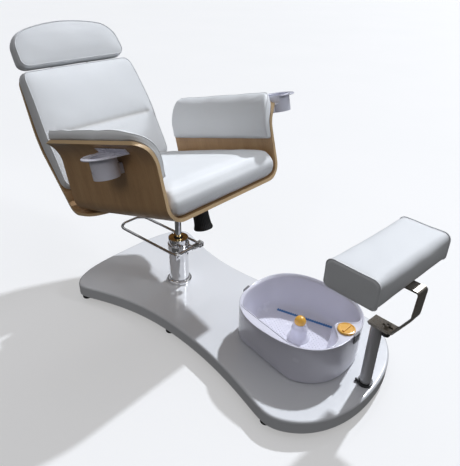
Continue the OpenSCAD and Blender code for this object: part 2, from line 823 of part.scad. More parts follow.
// Rounded rectangle of half sizes w and l with its points spread evenly, run anticlockwise
soft_arc = 5;
soft_side = 6;
function soft_outline(w, l, r, low_r = 0) =
    let (radii = [r, r, low_r > 0 ? low_r : r, low_r > 0 ? low_r : r],
         ends = [[w - radii[0], l], [-w, l - radii[1]], [radii[2] - w, -l], [w, radii[3] - l]],
         starts = [[w, l - radii[0]], [radii[1] - w, l], [-w, radii[2] - l], [w - radii[3], -l]])
    [for (c = [0:3])
        let (sx = (c == 0 || c == 3) ? 1 : -1, sy = c < 2 ? 1 : -1, mid = [sx * (w - radii[c]), sy * (l - radii[c])])
        each concat(
            [for (i = [0:soft_arc])
                mid + radii[c] * [cos(90 * (c + i / soft_arc)), sin(90 * (c + i / soft_arc))]],
            [for (i = [1:soft_side - 1]) lerp(ends[c], starts[(c + 1) % 4], i / soft_side)])];

// One ring of the seat cushion: set-backs of the sides, the front and the rear, and its height
function seat_ring(side, front, rear, h, r = 30) =
    let (y0 = -seat_cushion_front + front, y1 = -seat_cushion_rear - rear)
    [for (p = soft_outline(seat_cushion_half_w - side, (y1 - y0) / 2, r)) [p[0], p[1] + (y0 + y1) / 2, h]];

// The same ring drawn in towards the middle of the cushion's top
function seat_crown_ring(k, h) =
    let (base = seat_ring(34, 62, 16, 0, 24), mid = middle(base))
    [for (p = base) [mid[0] + (p[0] - mid[0]) * k, mid[1] + (p[1] - mid[1]) * k, h]];

module seat_cushion() {
    top = seat_cushion_h - seat_crown;
    color("white") on_seat() skin([
        seat_ring(51, 40, 30, soft_gap, 20),
        seat_ring(30, 22, 24, 5),
        seat_ring(14, 9, 14, 16),
        seat_ring(5, 3, 6, 31),
        seat_ring(0, 0, 1, 52),
        seat_ring(0, 4, 0, top - 30),
        seat_ring(3, 13, 1, top - 17),
        seat_ring(9, 27, 4, top - 7),
        seat_ring(19, 44, 8, top - 1.5),
        seat_crown_ring(1, top + 1.5),
        seat_crown_ring(0.85, top + 4.5),
        seat_crown_ring(0.6, top + seat_crown * 0.85),
        seat_crown_ring(0.3, top + seat_crown)
    ]);
}

// Thickness of the back cushion, square to the shell, at height h of the shell's front face
back_cushion_high = back_top_h + back_t * sin(back_lean) + back_cushion_high_z * cos(back_lean);
back_swell_h = 328;
function back_cushion_at(h) = h < back_swell_h
    ? back_cushion_t - (back_cushion_t - back_foot_t)
        * pow((back_swell_h - h) / (back_swell_h - back_cushion_low - 15), 2)
    : back_cushion_t - (back_cushion_t - back_head_t)
        * pow((h - back_swell_h) / (back_cushion_high - back_swell_h - 12), 2);
function back_lean_at(h) = lerp(back_lower_lean, back_lean, max(0, min(1, (h - back_knee_h + 60) / 120)));
function back_half_w(h) = lerp(back_cushion_half_w, back_cushion_top_half_w,
    max(0, min(1, (h - 310) / (back_cushion_high - 325))));

// One ring of the back cushion: edge set-back, place between its rear (0) and front (1), and crown
function back_ring(d, depth, crown = 0, k = 1) =
    let (mid = (back_cushion_low + back_cushion_high) / 2, half = (back_cushion_high - back_cushion_low) / 2,
         wide = back_cushion_half_w - d)
    [for (p = soft_outline(wide, half - d, back_corner_r))
        let (h = mid + p[1] * k, lean = back_lean_at(h),
             t = soft_gap + 0.5 + depth * back_cushion_at(h) + crown)
        [p[0] * k * (back_half_w(h) - d) / wide, -(back_face(h) + t * cos(lean)), h + t * sin(lean)]];

module back_cushion() {
    color("white") on_seat() skin([
        back_ring(11, 0), back_ring(3, 0.08), back_ring(0, 0.26), back_ring(0, 0.56),
        back_ring(3, 0.76), back_ring(8, 0.89), back_ring(15, 0.97), back_ring(24, 1),
        back_ring(24, 1, 4, 0.9), back_ring(24, 1, 8, 0.7), back_ring(24, 1, 11, 0.4), back_ring(24, 1, 12, 0.15)
    ]);
}

// Height of the arm's edge at a place along it, following its rounded corners
arm_back = curl_h * sin(arm_slope) + 2;
arm_pad_rear = -264;
arm_pad_front = shell_front - 7;
function arm_edge_h(s) =
    let (f = s - (shell_front - arm_back - arm_front_r), r = (shell_rear - arm_back + arm_rear_r) - s)
    f > 0 ? arm_top_h - arm_front_r + sqrt(max(0, pow(arm_front_r, 2) - f * f))
    : r > 0 ? arm_top_h - arm_rear_r + sqrt(max(0, pow(arm_rear_r, 2) - r * r))
    : arm_top_h;

pad_rows = 13;
pad_base_r = curl_r + ply_t + soft_gap;

// Base line of a pad at s: the point at share t of its length up the arm, and the outward direction
function pad_row(t, s) =
    let (flat = curl_h - arm_pad_low,
         curl = pad_base_r * asin(min(1, (arm_edge_h(s) - 1 - curl_h) / pad_base_r)) * PI / 180,
         run = t * (flat + curl),
         q = run > flat ? (run - flat) / pad_base_r * 180 / PI : 0)
    [[curl_x - pad_base_r * cos(q), run > flat ? curl_h + pad_base_r * sin(q) : arm_pad_low + run],
     [-cos(q), sin(q)]];
function round_end(t, n) = pow(max(0, 1 - pow(abs(2 * t - 1), n)), 1 / n);
pad_edge_t = 3;
pad_over = 14;
function pad_full(u) = lerp(arm_pad_t, arm_pad_top_t, max(0, min(1, (u - 0.3) / 0.6)));
function pad_ring(s, thick) =
    let (tip = pad_row(1, s), out = [-tip[1][1], tip[1][0]] * -1,
         tip_t = pad_edge_t + (pad_full(1) - pad_edge_t) * thick)
    concat(
        [for (j = [0:pad_rows]) let (r = pad_row(j / pad_rows, s)) [r[0][0], -s, r[0][1]]],
        [for (w = [0.1, 0.3, 0.5, 0.7, 0.88])
            let (p = tip[0] + tip[1] * tip_t * w + out * pad_over * thick * (1 - pow(abs(2 * w - 1), 2.2)))
            [p[0], -s, p[1]]],
        [for (j = [pad_rows:-1:0])
            let (u = j / pad_rows, r = pad_row(u, s),
                 t = pad_edge_t + (pad_full(u) - pad_edge_t) * thick * (u > 0.5 ? 1 : round_end(u, 5)),
                 p = r[0] + t * r[1])
            [p[0], -s, p[1]]]
    );
pad_ends = [0, 0.008, 0.025, 0.055, 0.1, 0.2, 0.35, 0.5, 0.65, 0.8, 0.9, 0.945, 0.975, 0.992, 1];

module arm_pad(side) {
    color("white") on_arm() mirror([side < 0 ? 1 : 0, 0, 0])
        skin([for (e = pad_ends) pad_ring(lerp(arm_pad_rear, arm_pad_front, e), round_end(e, 8))]);
}
module arm_pad_left() arm_pad(1);
module arm_pad_right() arm_pad(-1);

// ---------- Headrest ----------

head_post_x = 90;
head_post_r = 5;
head_post_back = head_post_r + 3;

module headrest_guides() {
    color("dimgray") on_back() difference() {
        for (side = [-1, 1])
            translate([side * head_post_x - 16, 0.2, -100]) cube([32, 2 * head_post_back - 2, 60]);
        for (side = [-1, 1]) translate([side * head_post_x, head_post_back, -110])
            cylinder(r = head_post_r + run_gap, h = 80);
    }
}

head_post_low = 150;
head_post_high = 110;

module headrest_posts() {
    color("silver") on_back() for (side = [-1, 1]) {
        translate([side * head_post_x, head_post_back, -head_post_low])
            cylinder(r = head_post_r, h = head_post_low + head_post_high);
        translate([side * head_post_x - 14, 0.2, head_post_high - 50]) cube([28, 6, 50]);
    }
}

function arched(x, v) = v - head_arch * (v - head_low) / head_h * pow(x / head_half_w, 2);

module headrest_plate() {
    color("peru") on_back() rotate([90, 0, 0]) linear_extrude(back_t) polygon([
        for (p = soft_outline(head_half_w - 14, head_h / 2 - 9, 72, 40))
            let (v = head_low + head_h / 2 + p[1]) [0.97 * p[0], arched(p[0], v)]
    ]);
}

// One ring of the headrest pad: edge set-back, place between its rear (0) and front (1), and crown
function head_ring(d, depth, crown = 0, k = 1) =
    [for (p = soft_outline(head_half_w - d, head_h / 2 - d, 72 - d / 2, 40 - d / 2))
        let (x = p[0] * k, v = head_low + head_h / 2 + p[1] * k, u = (v - head_low) / head_h)
        [x * (1 - 0.04 * u), -(back_t + soft_gap + depth * lerp(head_t, head_top_t, u) + crown), arched(x, v)]];

module headrest_cushion() {
    color("white") on_back() skin([
        head_ring(10, 0), head_ring(3, 0.08), head_ring(0, 0.28), head_ring(0, 0.6), head_ring(3, 0.8),
        head_ring(8, 0.92), head_ring(15, 0.99), head_ring(15, 1, 3, 0.88), head_ring(15, 1, 5, 0.6),
        head_ring(15, 1, 6, 0.25)
    ]);
}

// ---------- Cup holders ----------

// Side of the arm, distance of the middle outside it, place along it, rim height, depth, straight side
// of the rim and rise of the flange that follows the arm above it
cups = [
    [-1, cup_right_out, cup_right_s, cup_right_h, cup_right_depth, cup_right_flat, cup_rise],
    [1, cup_left_out, cup_left_s, cup_left_h, cup_left_depth, cup_left_flat, 0]
];
cup_screw_r = 2;
cup_screw_rows = [6, 26];
cup_lug_w = 24;

// Outer face of the arm at height h with a gap square to it, and the region outside that. The gap
// grows by what the flats of the bent sheet stand out of the curl.
curl_flat = 0.3;
function outer_u(h, gap = 0) = let (r = curl_r - gap, rise = min(h - curl_h, r * sin(curl_angle)))
    rise > 0 ? curl_x - sqrt(r * r - rise * rise) : arm_half_w + gap;
module outside_arm(gap) {
    r = curl_r - gap - curl_flat;
    along_seat(-400, 400) polygon(concat(
        [[2 * arm_half_w, 0], [curl_x - r, 0]],
        [for (i = [0:16]) let (q = curl_angle * i / 16) [curl_x - r * cos(q), curl_h + r * sin(q)]],
        [[curl_x - r * cos(curl_angle), 360], [2 * arm_half_w, 360]]
    ));
}

// Inner face of a cup's wall on the arm's side
cup_head_r = 4.5;
function cup_in(cup, h) =
    max(arm_half_w + cup[1] - cup_r, outer_u(h + cup_head_r, soft_gap + cup_wall + curl_flat)) + 0.4;

// Bars along the holders' screws, from a place inside the cup's wall to a depth past the arm's face
module cup_bars(which, r, from, past) {
    for (i = which, up = cup_screw_rows) {
        h = cups[i][3] - cups[i][4] + up;
        u = cup_in(cups[i], h) - from;
        translate([cups[i][0] * u, -cups[i][2], h])
            rotate([0, -90 * cups[i][0], 0]) cylinder(r = r, h = u - outer_u(h) + past);
    }
}

// Moulded cup with a flared rim and a lug that is screwed to the arm from inside the cup
module cup_holder(i) {
    cup = cups[i];
    x = arm_half_w + cup[1];
    low = cup[3] - cup[4] - cup_wall;
    color("whitesmoke") on_arm() difference() {
        mirror([cup[0] < 0 ? 1 : 0, 0, 0]) difference() {
            intersection() {
                union() {
                    translate([x, -cup[2], low]) cylinder(r = cup_r + cup_wall, h = cup[3] - low);
                    translate([0, -cup[2], cup[3] - cup_wall]) linear_extrude(cup_wall) hull() {
                        translate([x, 6]) scale([1, 1.15]) circle(r = cup_rim_r);
                        translate([outer_u(cup[3]), -cup[5] / 2]) square([8, cup[5]]);
                    }
                    if (cup[6] > 0) intersection() {
                        translate([arm_half_w, -cup[2] - cup[5] / 2, cup[3] - cup_wall])
                            cube([cup[1], cup[5], cup_wall + cup[6]]);
                        difference() {
                            outside_arm(soft_gap);
                            outside_arm(soft_gap + cup_wall);
                        }
                    }
                    translate([arm_half_w, -cup[2] - cup_lug_w / 2, low])
                        cube([cup[1], cup_lug_w, cup_wall + cup_screw_rows[1] + 8]);
                }
                outside_arm(soft_gap);
            }
            intersection() {
                translate([x, -cup[2], low + cup_wall]) cylinder(r = cup_r, h = cup[4] + 5);
                outside_arm(soft_gap + cup_wall);
            }
        }
        cup_bars([i], cup_screw_r + screw_gap, -5, 5);
    }
}
module cup_holder_right() cup_holder(0);
module cup_holder_left() cup_holder(1);

module cup_screws() {
    color("gray") on_arm() {
        cup_bars([0, 1], cup_screw_r, -1, 9);
        for (cup = cups, up = cup_screw_rows) let (h = cup[3] - cup[4] + up)
            translate([cup[0] * (cup_in(cup, h) + 2.5), -cup[2], h])
                rotate([0, -90 * cup[0], 0]) cylinder(r = cup_head_r, h = 2.5);
    }
}

// ---------- Foot basin ----------

tub_points = 72;
rim_w = 5;
deck_z = tub_top - 3;
pocket_r = cap_r - 6;
cap_x = 19;

// Limits of the straight side of the base and of the basin, as distances left of the middle
function base_side(y) = 175.6 - 0.13 * y;
function basin_side(y) = 165.5 - 0.135 * y;

// Front edge of the basin, drawn in round the boss that carries the cap
function boss_edge(x) = cap_reach - cap_r - 11 + 60 * (1 - exp(-pow((x - cap_x) / boss_spread, 2)));

// Oval of the outer wall, set in by d, with its left side cut straight; open is 0 at the base, 1 at the rim
function tub_ring(d, z, open) = [
    for (p = superellipse(tub_half_w - d, tub_half_l - d, tub_power, tub_points))
        [-soft_min(-p[0], base_side(p[1]) - d + 48 * open, 5), p[1], z]
];

// Outline of the basin, set in by d from its upper edge
function basin_ring(d, z) = [
    for (p = superellipse(tub_half_w - rim_w - 2 - d, tub_half_l - rim_w - 2 - d, tub_power, tub_points))
        let (x = -soft_min(-p[0], basin_side(p[1]) - d, 5))
        [x, -soft_min(-p[1], boss_edge(x) - d, 6), z]
];

module tub_shell() {
    wall_rows = [0, 0.06, 0.25, 0.5, 0.75, 1];
    high = deck_z - 4;
    color("white") on_tub() skin(concat(
        [tub_ring(5, tub_low, 0), tub_ring(1.5, tub_low + 3, 0)],
        [for (t = wall_rows) tub_ring(1.5 * (1 - t), lerp(tub_low + 8, high, t), t)],
        [tub_ring(0, tub_top - 1.5, 1), tub_ring(1.5, tub_top, 1), tub_ring(rim_w - 1, tub_top, 1),
         tub_ring(rim_w, tub_top - 1, 1), tub_ring(rim_w, high, 1)],
        [for (t = reversed(wall_rows)) tub_ring(1.5 * (1 - t) + tub_wall, lerp(tub_low + 8, high - 3, t), t)],
        [tub_ring(9, tub_low + tub_wall, 0)]
    ));
}

module tub_basin() {
    floor_low = tub_floor_z - tub_wall;
    under = deck_z - tub_wall;
    color("white") on_tub() difference() {
        union() {
            skin([
                basin_ring(36, floor_low), basin_ring(26, floor_low + 2), basin_ring(19, floor_low + 9),
                basin_ring(16, floor_low + 20), basin_ring(6, under - 30), basin_ring(1, under - 8),
                basin_ring(-1, under), tub_ring(rim_w + 0.3, under, 1), tub_ring(rim_w + 0.3, deck_z, 1),
                basin_ring(0, deck_z), basin_ring(3, deck_z - 2), basin_ring(5, deck_z - 8),
                basin_ring(9, under - 30), basin_ring(19, floor_low + 23), basin_ring(23, floor_low + 12),
                basin_ring(29, floor_low + 5), basin_ring(38, floor_low + tub_wall)
            ]);
            translate([cap_x, -cap_reach, under - 32]) cylinder(r = pocket_r + 3, h = 32 + tub_wall / 2);
        }
        translate([cap_x, -cap_reach, under - 29]) cylinder(r = pocket_r, h = 60);
    }
}

module tub_feet() {
    color("dimgray") on_tub() for (p = [[-130, 110], [-145, -95], [130, 120], [130, -120]])
        translate([p[0], p[1], top_z]) cylinder(r = 14, h = tub_foot_h);
}

// Clip that hooks over the rim at x, on the front (-1) or rear (1) side
function rim_y(x) = tub_half_l * pow(1 - pow(abs(x) / tub_half_w, tub_power), 1 / tub_power);
module rim_clip(x, side) {
    q = atan2(rim_y(x + 1) - rim_y(x - 1), 2);
    translate([x, side * rim_y(x), 0]) rotate([0, 0, side * q]) mirror([0, side < 0 ? 1 : 0, 0]) {
        translate([-17, 0.6, tub_top - 30]) cube([34, 5, 30.3 + 3]);
        translate([-17, -3.5, tub_top + 0.3]) cube([34, 6, 3]);
    }
}
module tub_latches() {
    color("gray") on_tub() {
        rim_clip(cap_x, -1);
        rim_clip(-52, 1);
    }
}

module tub_cap() {
    color("gold") on_tub() translate([cap_x, -cap_reach, 0]) {
        rotate_extrude() polygon([
            [0, deck_z - 7], [pocket_r - run_gap, deck_z - 7], [pocket_r - run_gap, deck_z + 0.3],
            [cap_r - 0.5, deck_z + 0.3], [cap_r, deck_z + 1], [cap_r, deck_z + 5], [cap_r - 1.5, deck_z + 7],
            [cap_r - 5, deck_z + 7.5], [cap_r - 7, deck_z + 5.5], [0, deck_z + 5.5]
        ]);
        translate([-cap_r + 9, -4, deck_z + 5]) cube([2 * cap_r - 18, 8, 5]);
    }
}

post_x = 8;
ball_z = tub_floor_z + ball_h;

module massage_post() {
    color("white") on_tub() translate([post_x, 0, 0]) difference() {
        rotate_extrude() polygon([
            [0, tub_floor_z + 0.1], [44, tub_floor_z + 0.1], [43, tub_floor_z + 3], [37, tub_floor_z + 8],
            [33, tub_floor_z + 18], [31, tub_floor_z + 40], [30, tub_floor_z + 48], [26, tub_floor_z + 55],
            [24, tub_floor_z + 60], [23.5, ball_z - 9], [22, ball_z - 7], [0, ball_z - 7]
        ]);
        translate([0, 0, ball_z]) sphere(r = ball_r + 0.3);
    }
}

module massage_ball() {
    color("gold") on_tub() translate([post_x, 0, ball_z]) sphere(r = ball_r);
}

strip_rear_x = 80;
strip_rear_y = tub_half_l - 61;
strip_front_x = 145;
strip_front_y = -62;

module bubble_strip() {
    from = [strip_rear_x, strip_rear_y];
    to = [strip_front_x, strip_front_y];
    long = norm(to - from);
    teeth = floor(long / 9);
    color("dodgerblue") on_tub() translate([from[0], from[1], tub_floor_z])
        rotate([0, 0, atan2(to[1] - from[1], to[0] - from[0])]) {
            translate([0, -4, 0]) cube([long, 8, 3]);
            for (i = [0:teeth - 1]) translate([long * (i + 0.2) / teeth, -5.5, 0]) cube([4, 11, 4.5]);
        }
}

// ---------- Footrest ----------

set_screw_q = 115;
set_screw_z = top_z + 6.5;
collar_top = top_z + 12;
collar_floor = 3;
flange_out = post_r + 6;

module at_set_screw() {
    translate([0, post_y, set_screw_z]) rotate([0, 0, set_screw_q]) rotate([0, 90, 0]) children();
}

module post_collar() {
    color("dimgray") difference() {
        translate([0, post_y, 0]) {
            translate([0, 0, board_low]) cylinder(r = collar_r, h = collar_top - board_low);
            translate([0, 0, top_z]) cylinder(r = flange_out, h = collar_top - top_z);
        }
        translate([0, post_y, board_low + collar_floor]) cylinder(r = post_r + run_gap, h = 2 * top_z);
        at_set_screw() translate([0, 0, post_r - 5]) cylinder(r = 3 + run_gap, h = 30);
    }
}

module set_screw() {
    color("black") at_set_screw() {
        translate([0, 0, post_r + 0.5]) cylinder(r = 3, h = flange_out - post_r + 2);
        translate([0, 0, flange_out + 1]) cylinder(r = 6, h = 7);
    }
}

module post_tube() {
    color("silver") translate([0, post_y, board_low + collar_floor + 0.1]) difference() {
        cylinder(r = post_r, h = post_top - board_low - collar_floor - 0.1);
        translate([0, 0, -1]) cylinder(r = post_r - post_wall, h = post_top);
    }
}

// Stopper in the post with the plate that the bracket slides on
module post_head() {
    color("dimgray") on_post() difference() {
        union() {
            translate([0, 0, post_top - 20]) cylinder(r = post_r - post_wall - 0.1, h = 22);
            translate([0, 0, post_top]) cylinder(r = post_r, h = plug_t + 1);
            translate([-bar_w / 2, -stud_v - 14, post_top + plug_t])
                cube([bar_w, stud_v + 14 + post_r, head_plate_t]);
        }
        translate([0, -stud_v, post_top - 10]) cylinder(r = stud_r + run_gap, h = 40);
    }
}

module clamp_knob() {
    high = post_top + plug_t - 0.3;
    color("black") on_post() translate([0, -stud_v, 0]) {
        translate([0, 0, high - 2]) cylinder(r = stud_r, h = leg_low - high + bar_t + 9);
        translate([0, 0, high - 4]) cylinder(r = 8, h = 4);
        translate([0, 0, high - 24]) cylinder(r = 13, h = 21);
        for (q = [0:60:300]) rotate([0, 0, q]) translate([11, 0, high - 24]) cylinder(r = 2.8, h = 21);
    }
}

module clamp_nut() {
    color("gray") on_post() translate([0, -stud_v, leg_low + bar_t + 0.1]) difference() {
        translate([-11, -6, 0]) cube([22, 12, 8]);
        translate([0, 0, -1]) cylinder(r = stud_r + run_gap, h = 12);
    }
}

bracket_path = rounded_path(
    [[-24, leg_low], [62, leg_low], [bracket_reach - 4, leg_low + 88], [bracket_reach, leg_top + bar_t],
     [-70, leg_top + bar_t]],
    [12, 40, 12]
);
rest_screws = [[-14, -50], [14, -50], [-14, 50], [14, 50]];
rest_screw_r = 3;

module footrest_bracket() {
    color("silver") on_post() difference() {
        across(bar_w) polygon(strip(bracket_path, bar_t));
        for (side = [-1, 1]) translate([0, -stud_v - side * slot_travel, leg_low - 1])
            cylinder(r = stud_r + 0.5, h = bar_t + 2);
        translate([-stud_r - 0.5, -stud_v - slot_travel, leg_low - 1])
            cube([2 * stud_r + 1, 2 * slot_travel, bar_t + 2]);
        for (p = rest_screws) translate([p[0], -p[1], leg_top - 1])
            cylinder(r = rest_screw_r + screw_gap, h = bar_t + 2);
    }
}

module footrest_screws() {
    color("gray") on_post() for (p = rest_screws) translate([p[0], -p[1], leg_top]) {
        cylinder(r = rest_screw_r, h = bar_t + rest_board_t - 2);
        translate([0, 0, -3]) cylinder(r = 6, h = 3);
    }
}

rest_low = leg_top + bar_t;
rest_back = 9;

module footrest_board() {
    color("burlywood") on_post() difference() {
        translate([-rest_len / 2 + 20, rest_back - rest_w / 2 + 20, rest_low])
            cube([rest_len - 40, rest_w - 40, rest_board_t]);
        for (p = rest_screws) translate([p[0], -p[1], rest_low - 1])
            cylinder(r = rest_screw_r + screw_gap, h = rest_board_t);
    }
}

function rest_ring(d, z, r = 12, k = 1) =
    [for (p = soft_outline(rest_len / 2 - d, rest_w / 2 - d, r)) [p[0] * k, rest_back + p[1] * k, z]];

module footrest_cushion() {
    low = rest_low + 0.2;
    top = rest_low + rest_t;
    color("white") on_post() difference() {
        skin([
            rest_ring(5, low), rest_ring(1.5, low + 2), rest_ring(0, low + 7), rest_ring(0, low + 30),
            rest_ring(0, top - 32), rest_ring(0, top - 14), rest_ring(1, top - 7), rest_ring(4, top - 2),
            rest_ring(8, top), rest_ring(8, top + 0.8, 12, 0.93), rest_ring(8, top + 2, 12, 0.7),
            rest_ring(8, top + 3, 12, 0.35)
        ]);
        translate([-rest_len / 2 + 20 - soft_gap, rest_back - rest_w / 2 + 20 - soft_gap, rest_low - 1])
            cube([rest_len - 40 + 2 * soft_gap, rest_w - 40 + 2 * soft_gap, rest_board_t + 1 + soft_gap]);
    }
}

platform_cover();
base_board();
rubber_feet();
centre_foot();
pump_cylinder();
pump_core();
top_gland();
rod_seal();
flange_bolts();
trim_ring();
lever_bracket();
lever_yoke();
lever_loop();
lever_spring();
yoke_bolts();
piston_rod();
thrust_washer();
column_socket();
tilt_case();
tilt_pin();
tension_bolt();
tension_spring();
tension_knob();
seat_shell();
back_shell();
seat_screws();
seat_cushion();
back_cushion();
arm_pad_left();
arm_pad_right();
headrest_guides();
headrest_posts();
headrest_plate();
headrest_cushion();
cup_holder_left();
cup_holder_right();
cup_screws();
tub_shell();
tub_basin();
tub_feet();
tub_latches();
tub_cap();
massage_post();
massage_ball();
bubble_strip();
post_collar();
set_screw();
post_tube();
post_head();
clamp_knob();
clamp_nut();
footrest_bracket();
footrest_screws();
footrest_board();
footrest_cushion();
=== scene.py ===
"""A pedicure spa chair in its real finishes, put on the fixed frame of its solids."""

import json
import math

import bmesh
import bpy
import numpy as np
from mathutils import Matrix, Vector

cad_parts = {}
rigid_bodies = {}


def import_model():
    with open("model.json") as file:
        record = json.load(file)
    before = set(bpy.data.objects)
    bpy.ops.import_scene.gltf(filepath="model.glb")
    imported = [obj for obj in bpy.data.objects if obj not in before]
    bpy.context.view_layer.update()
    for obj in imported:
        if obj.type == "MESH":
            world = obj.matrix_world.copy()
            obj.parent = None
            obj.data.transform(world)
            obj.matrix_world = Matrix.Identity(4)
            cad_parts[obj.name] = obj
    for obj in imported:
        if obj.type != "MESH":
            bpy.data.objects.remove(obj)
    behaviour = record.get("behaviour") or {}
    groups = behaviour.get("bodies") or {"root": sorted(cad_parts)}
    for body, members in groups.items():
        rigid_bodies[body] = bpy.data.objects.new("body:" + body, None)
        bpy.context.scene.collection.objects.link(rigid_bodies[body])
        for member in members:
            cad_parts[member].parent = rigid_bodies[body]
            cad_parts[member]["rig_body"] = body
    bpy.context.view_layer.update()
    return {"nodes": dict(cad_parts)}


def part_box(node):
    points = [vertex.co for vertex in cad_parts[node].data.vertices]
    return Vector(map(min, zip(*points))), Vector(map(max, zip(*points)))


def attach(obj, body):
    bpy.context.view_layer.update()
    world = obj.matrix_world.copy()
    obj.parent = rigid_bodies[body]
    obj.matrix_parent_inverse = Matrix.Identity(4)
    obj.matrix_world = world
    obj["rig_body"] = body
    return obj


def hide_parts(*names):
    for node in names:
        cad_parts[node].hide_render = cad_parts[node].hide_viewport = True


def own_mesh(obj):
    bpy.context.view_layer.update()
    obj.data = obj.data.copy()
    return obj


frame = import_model()
scene = bpy.context.scene


# ---------------------------------------------------------------- Studio
# A plain pale floor and a far pale wall, one hard lamp high on the sitter's left, two soft ones
# from the front and the right, and the camera above and before the sitter's right side.

scene.view_settings.view_transform = "Standard"

turn, rise, roll = (math.radians(v) for v in (-49.88, 29.53, 1.67))
eye_back = np.array([math.sin(turn) * math.cos(rise), -math.cos(turn) * math.cos(rise), math.sin(rise)])
eye_right = np.array([math.cos(turn), math.sin(turn), 0.0])
eye_up = np.cross(eye_back, eye_right)
camera = bpy.data.objects.new("camera", bpy.data.cameras.new("camera"))
camera.data.lens = 37.89
camera.data.sensor_width = 36.0
camera.data.clip_end = 200.0
camera.matrix_world = Matrix(np.vstack([np.column_stack([
    eye_right * math.cos(roll) + eye_up * math.sin(roll),
    eye_up * math.cos(roll) - eye_right * math.sin(roll),
    eye_back, [-1.25224, -1.34501, 1.35628]]), [0, 0, 0, 1]]).tolist())
scene.collection.objects.link(camera)
scene.camera = camera


def hang(name, kind, place, aim, **settings):
    """A lamp of this kind at a place, which shines at a point."""
    lamp = bpy.data.objects.new(name, bpy.data.lights.new(name, kind))
    for key, value in settings.items():
        setattr(lamp.data, key, value)
    way = np.subtract(place, aim) / np.linalg.norm(np.subtract(place, aim))
    side = np.cross([0, 0, 1.0], way) / np.linalg.norm(np.cross([0, 0, 1.0], way))
    lamp.matrix_world = Matrix(np.vstack([np.column_stack([side, np.cross(way, side), way, place]),
                                          [0, 0, 0, 1]]).tolist())
    scene.collection.objects.link(lamp)


hang("key_lamp", "SUN", (2.6, 0.28, 3.04), (0, 0, 0),
     energy=2.65, angle=math.radians(2.2), color=(0.93, 0.97, 1.03))
hang("back_lamp", "SPOT", (1.5, -3.0, 2.5), (0, 0.22, 0.76), energy=140, shadow_soft_size=0.35,
     spot_size=math.radians(28), spot_blend=0.8, color=(0.94, 0.98, 1.03))
hang("side_lamp", "SPOT", (-1.7, -0.5, 1.9), (-0.22, 0.05, 0.74), energy=32, shadow_soft_size=0.45,
     spot_size=math.radians(27), spot_blend=1.0, color=(1.03, 0.98, 0.92))


class Wire:
    """One output of a node. Sums, products, powers and comparisons with other wires or numbers add Math nodes."""

    def __init__(self, finish, socket):
        self.finish, self.socket = finish, socket

    def math(self, operation, *terms):
        return self.finish.node("ShaderNodeMath", {"operation": operation}, *terms)

    def __add__(self, other):
        return self.math("ADD", self, other)

    def __sub__(self, other):
        return self.math("SUBTRACT", self, other)

    def __rsub__(self, other):
        return self.math("SUBTRACT", other, self)

    def __mul__(self, other):
        return self.math("MULTIPLY", self, other)

    def __pow__(self, other):
        return self.math("POWER", self, other)

    def __gt__(self, other):
        return self.math("GREATER_THAN", self, other)

    __radd__, __rmul__ = __add__, __mul__


class Finish:
    """A material. Its plain values are set on the shader's own sockets; node() adds any other node."""

    def __init__(self, name, **plain):
        self.material = bpy.data.materials.new(name)
        self.material.use_nodes = True
        self.tree = self.material.node_tree
        self.shader = self.tree.nodes["Principled BSDF"]
        for key, value in plain.items():
            socket = self.shader.inputs[" ".join(w if w.isupper() else w.capitalize() for w in key.split("_"))]
            socket.default_value = (*value, 1.0) if isinstance(value, tuple) and len(value) == 3 else value

    def feed(self, socket, value):
        """Links a wire to a socket, or sets the socket's number, vector or colour."""
        if isinstance(value, Wire):
            self.tree.links.new(value.socket, socket)
        elif isinstance(value, tuple) and len(value) == 3 and socket.type == "RGBA":
            socket.default_value = (*value, 1.0)
        else:
            socket.default_value = value

    def node(self, kind, settings=(), *terms, out=0, **named):
        """Adds a node: its settings first, then its inputs by place or by name; returns the wanted output."""
        made = self.tree.nodes.new(kind)
        for key, value in dict(settings).items():
            if key == "stops":
                ramp = made.color_ramp.elements
                while len(ramp) < len(value):
                    ramp.new(0.5)
                for stop, (place, colour) in zip(ramp, value):
                    stop.position, stop.color = place, (*colour, 1.0)
            else:
                setattr(made, key, value)
        for socket, value in zip(made.inputs, terms):
            self.feed(socket, value)
        for key, value in named.items():
            self.feed(made.inputs[key.replace("_", " ").title()], value)
        return Wire(self, made.outputs[out])

    def place(self, scale=(1, 1, 1), source="Object"):
        """Coordinates on the piece, stretched by scale: metres on the object, or metres along its UV map."""
        start = self.node("ShaderNodeTexCoord", out=3 if source == "Object" else 2)
        return self.node("ShaderNodeMapping", {}, start, (0, 0, 0), (0, 0, 0), scale)

    def noise(self, where, scale, detail=3.0, roughness=0.5):
        """Soft noise from 0 to 1 with this many lumps to the metre."""
        return self.node("ShaderNodeTexNoise", {}, Vector=where, Scale=scale, Detail=detail, Roughness=roughness)

    def mixed(self, share, first, second):
        """Colour that goes from first to second as share goes from 0 to 1."""
        made = self.tree.nodes.new("ShaderNodeMix")
        made.data_type = "RGBA"
        for index, value in ((0, share), (6, first), (7, second)):
            self.feed(made.inputs[index], value)
        return Wire(self, made.outputs[2])

    def spread(self, value, low, high):
        """Maps a wire's 0 to 1 onto low to high."""
        return value * (high - low) + low

    def wear(self, colour=None, roughness=None, height=None, depth=0.0002, strength=1.0):
        """Joins what changes over the surface to the shader: colour, roughness and the relief of a height."""
        if colour is not None:
            self.feed(self.shader.inputs["Base Color"], colour)
        if roughness is not None:
            self.feed(self.shader.inputs["Roughness"], roughness)
        if height is not None:
            bump = self.node("ShaderNodeBump", {}, Strength=strength, Distance=depth, Height=height)
            self.feed(self.shader.inputs["Normal"], bump)
        return self


floor_paint = Finish("floor_paint", roughness=0.7, emission_color=(0.9, 0.9, 0.9), emission_strength=0.42)
floor_spot = floor_paint.noise(floor_paint.place(), 0.8, 2)
floor_paint.wear(colour=floor_paint.mixed(floor_spot, (0.50, 0.505, 0.51), (0.53, 0.53, 0.535)))


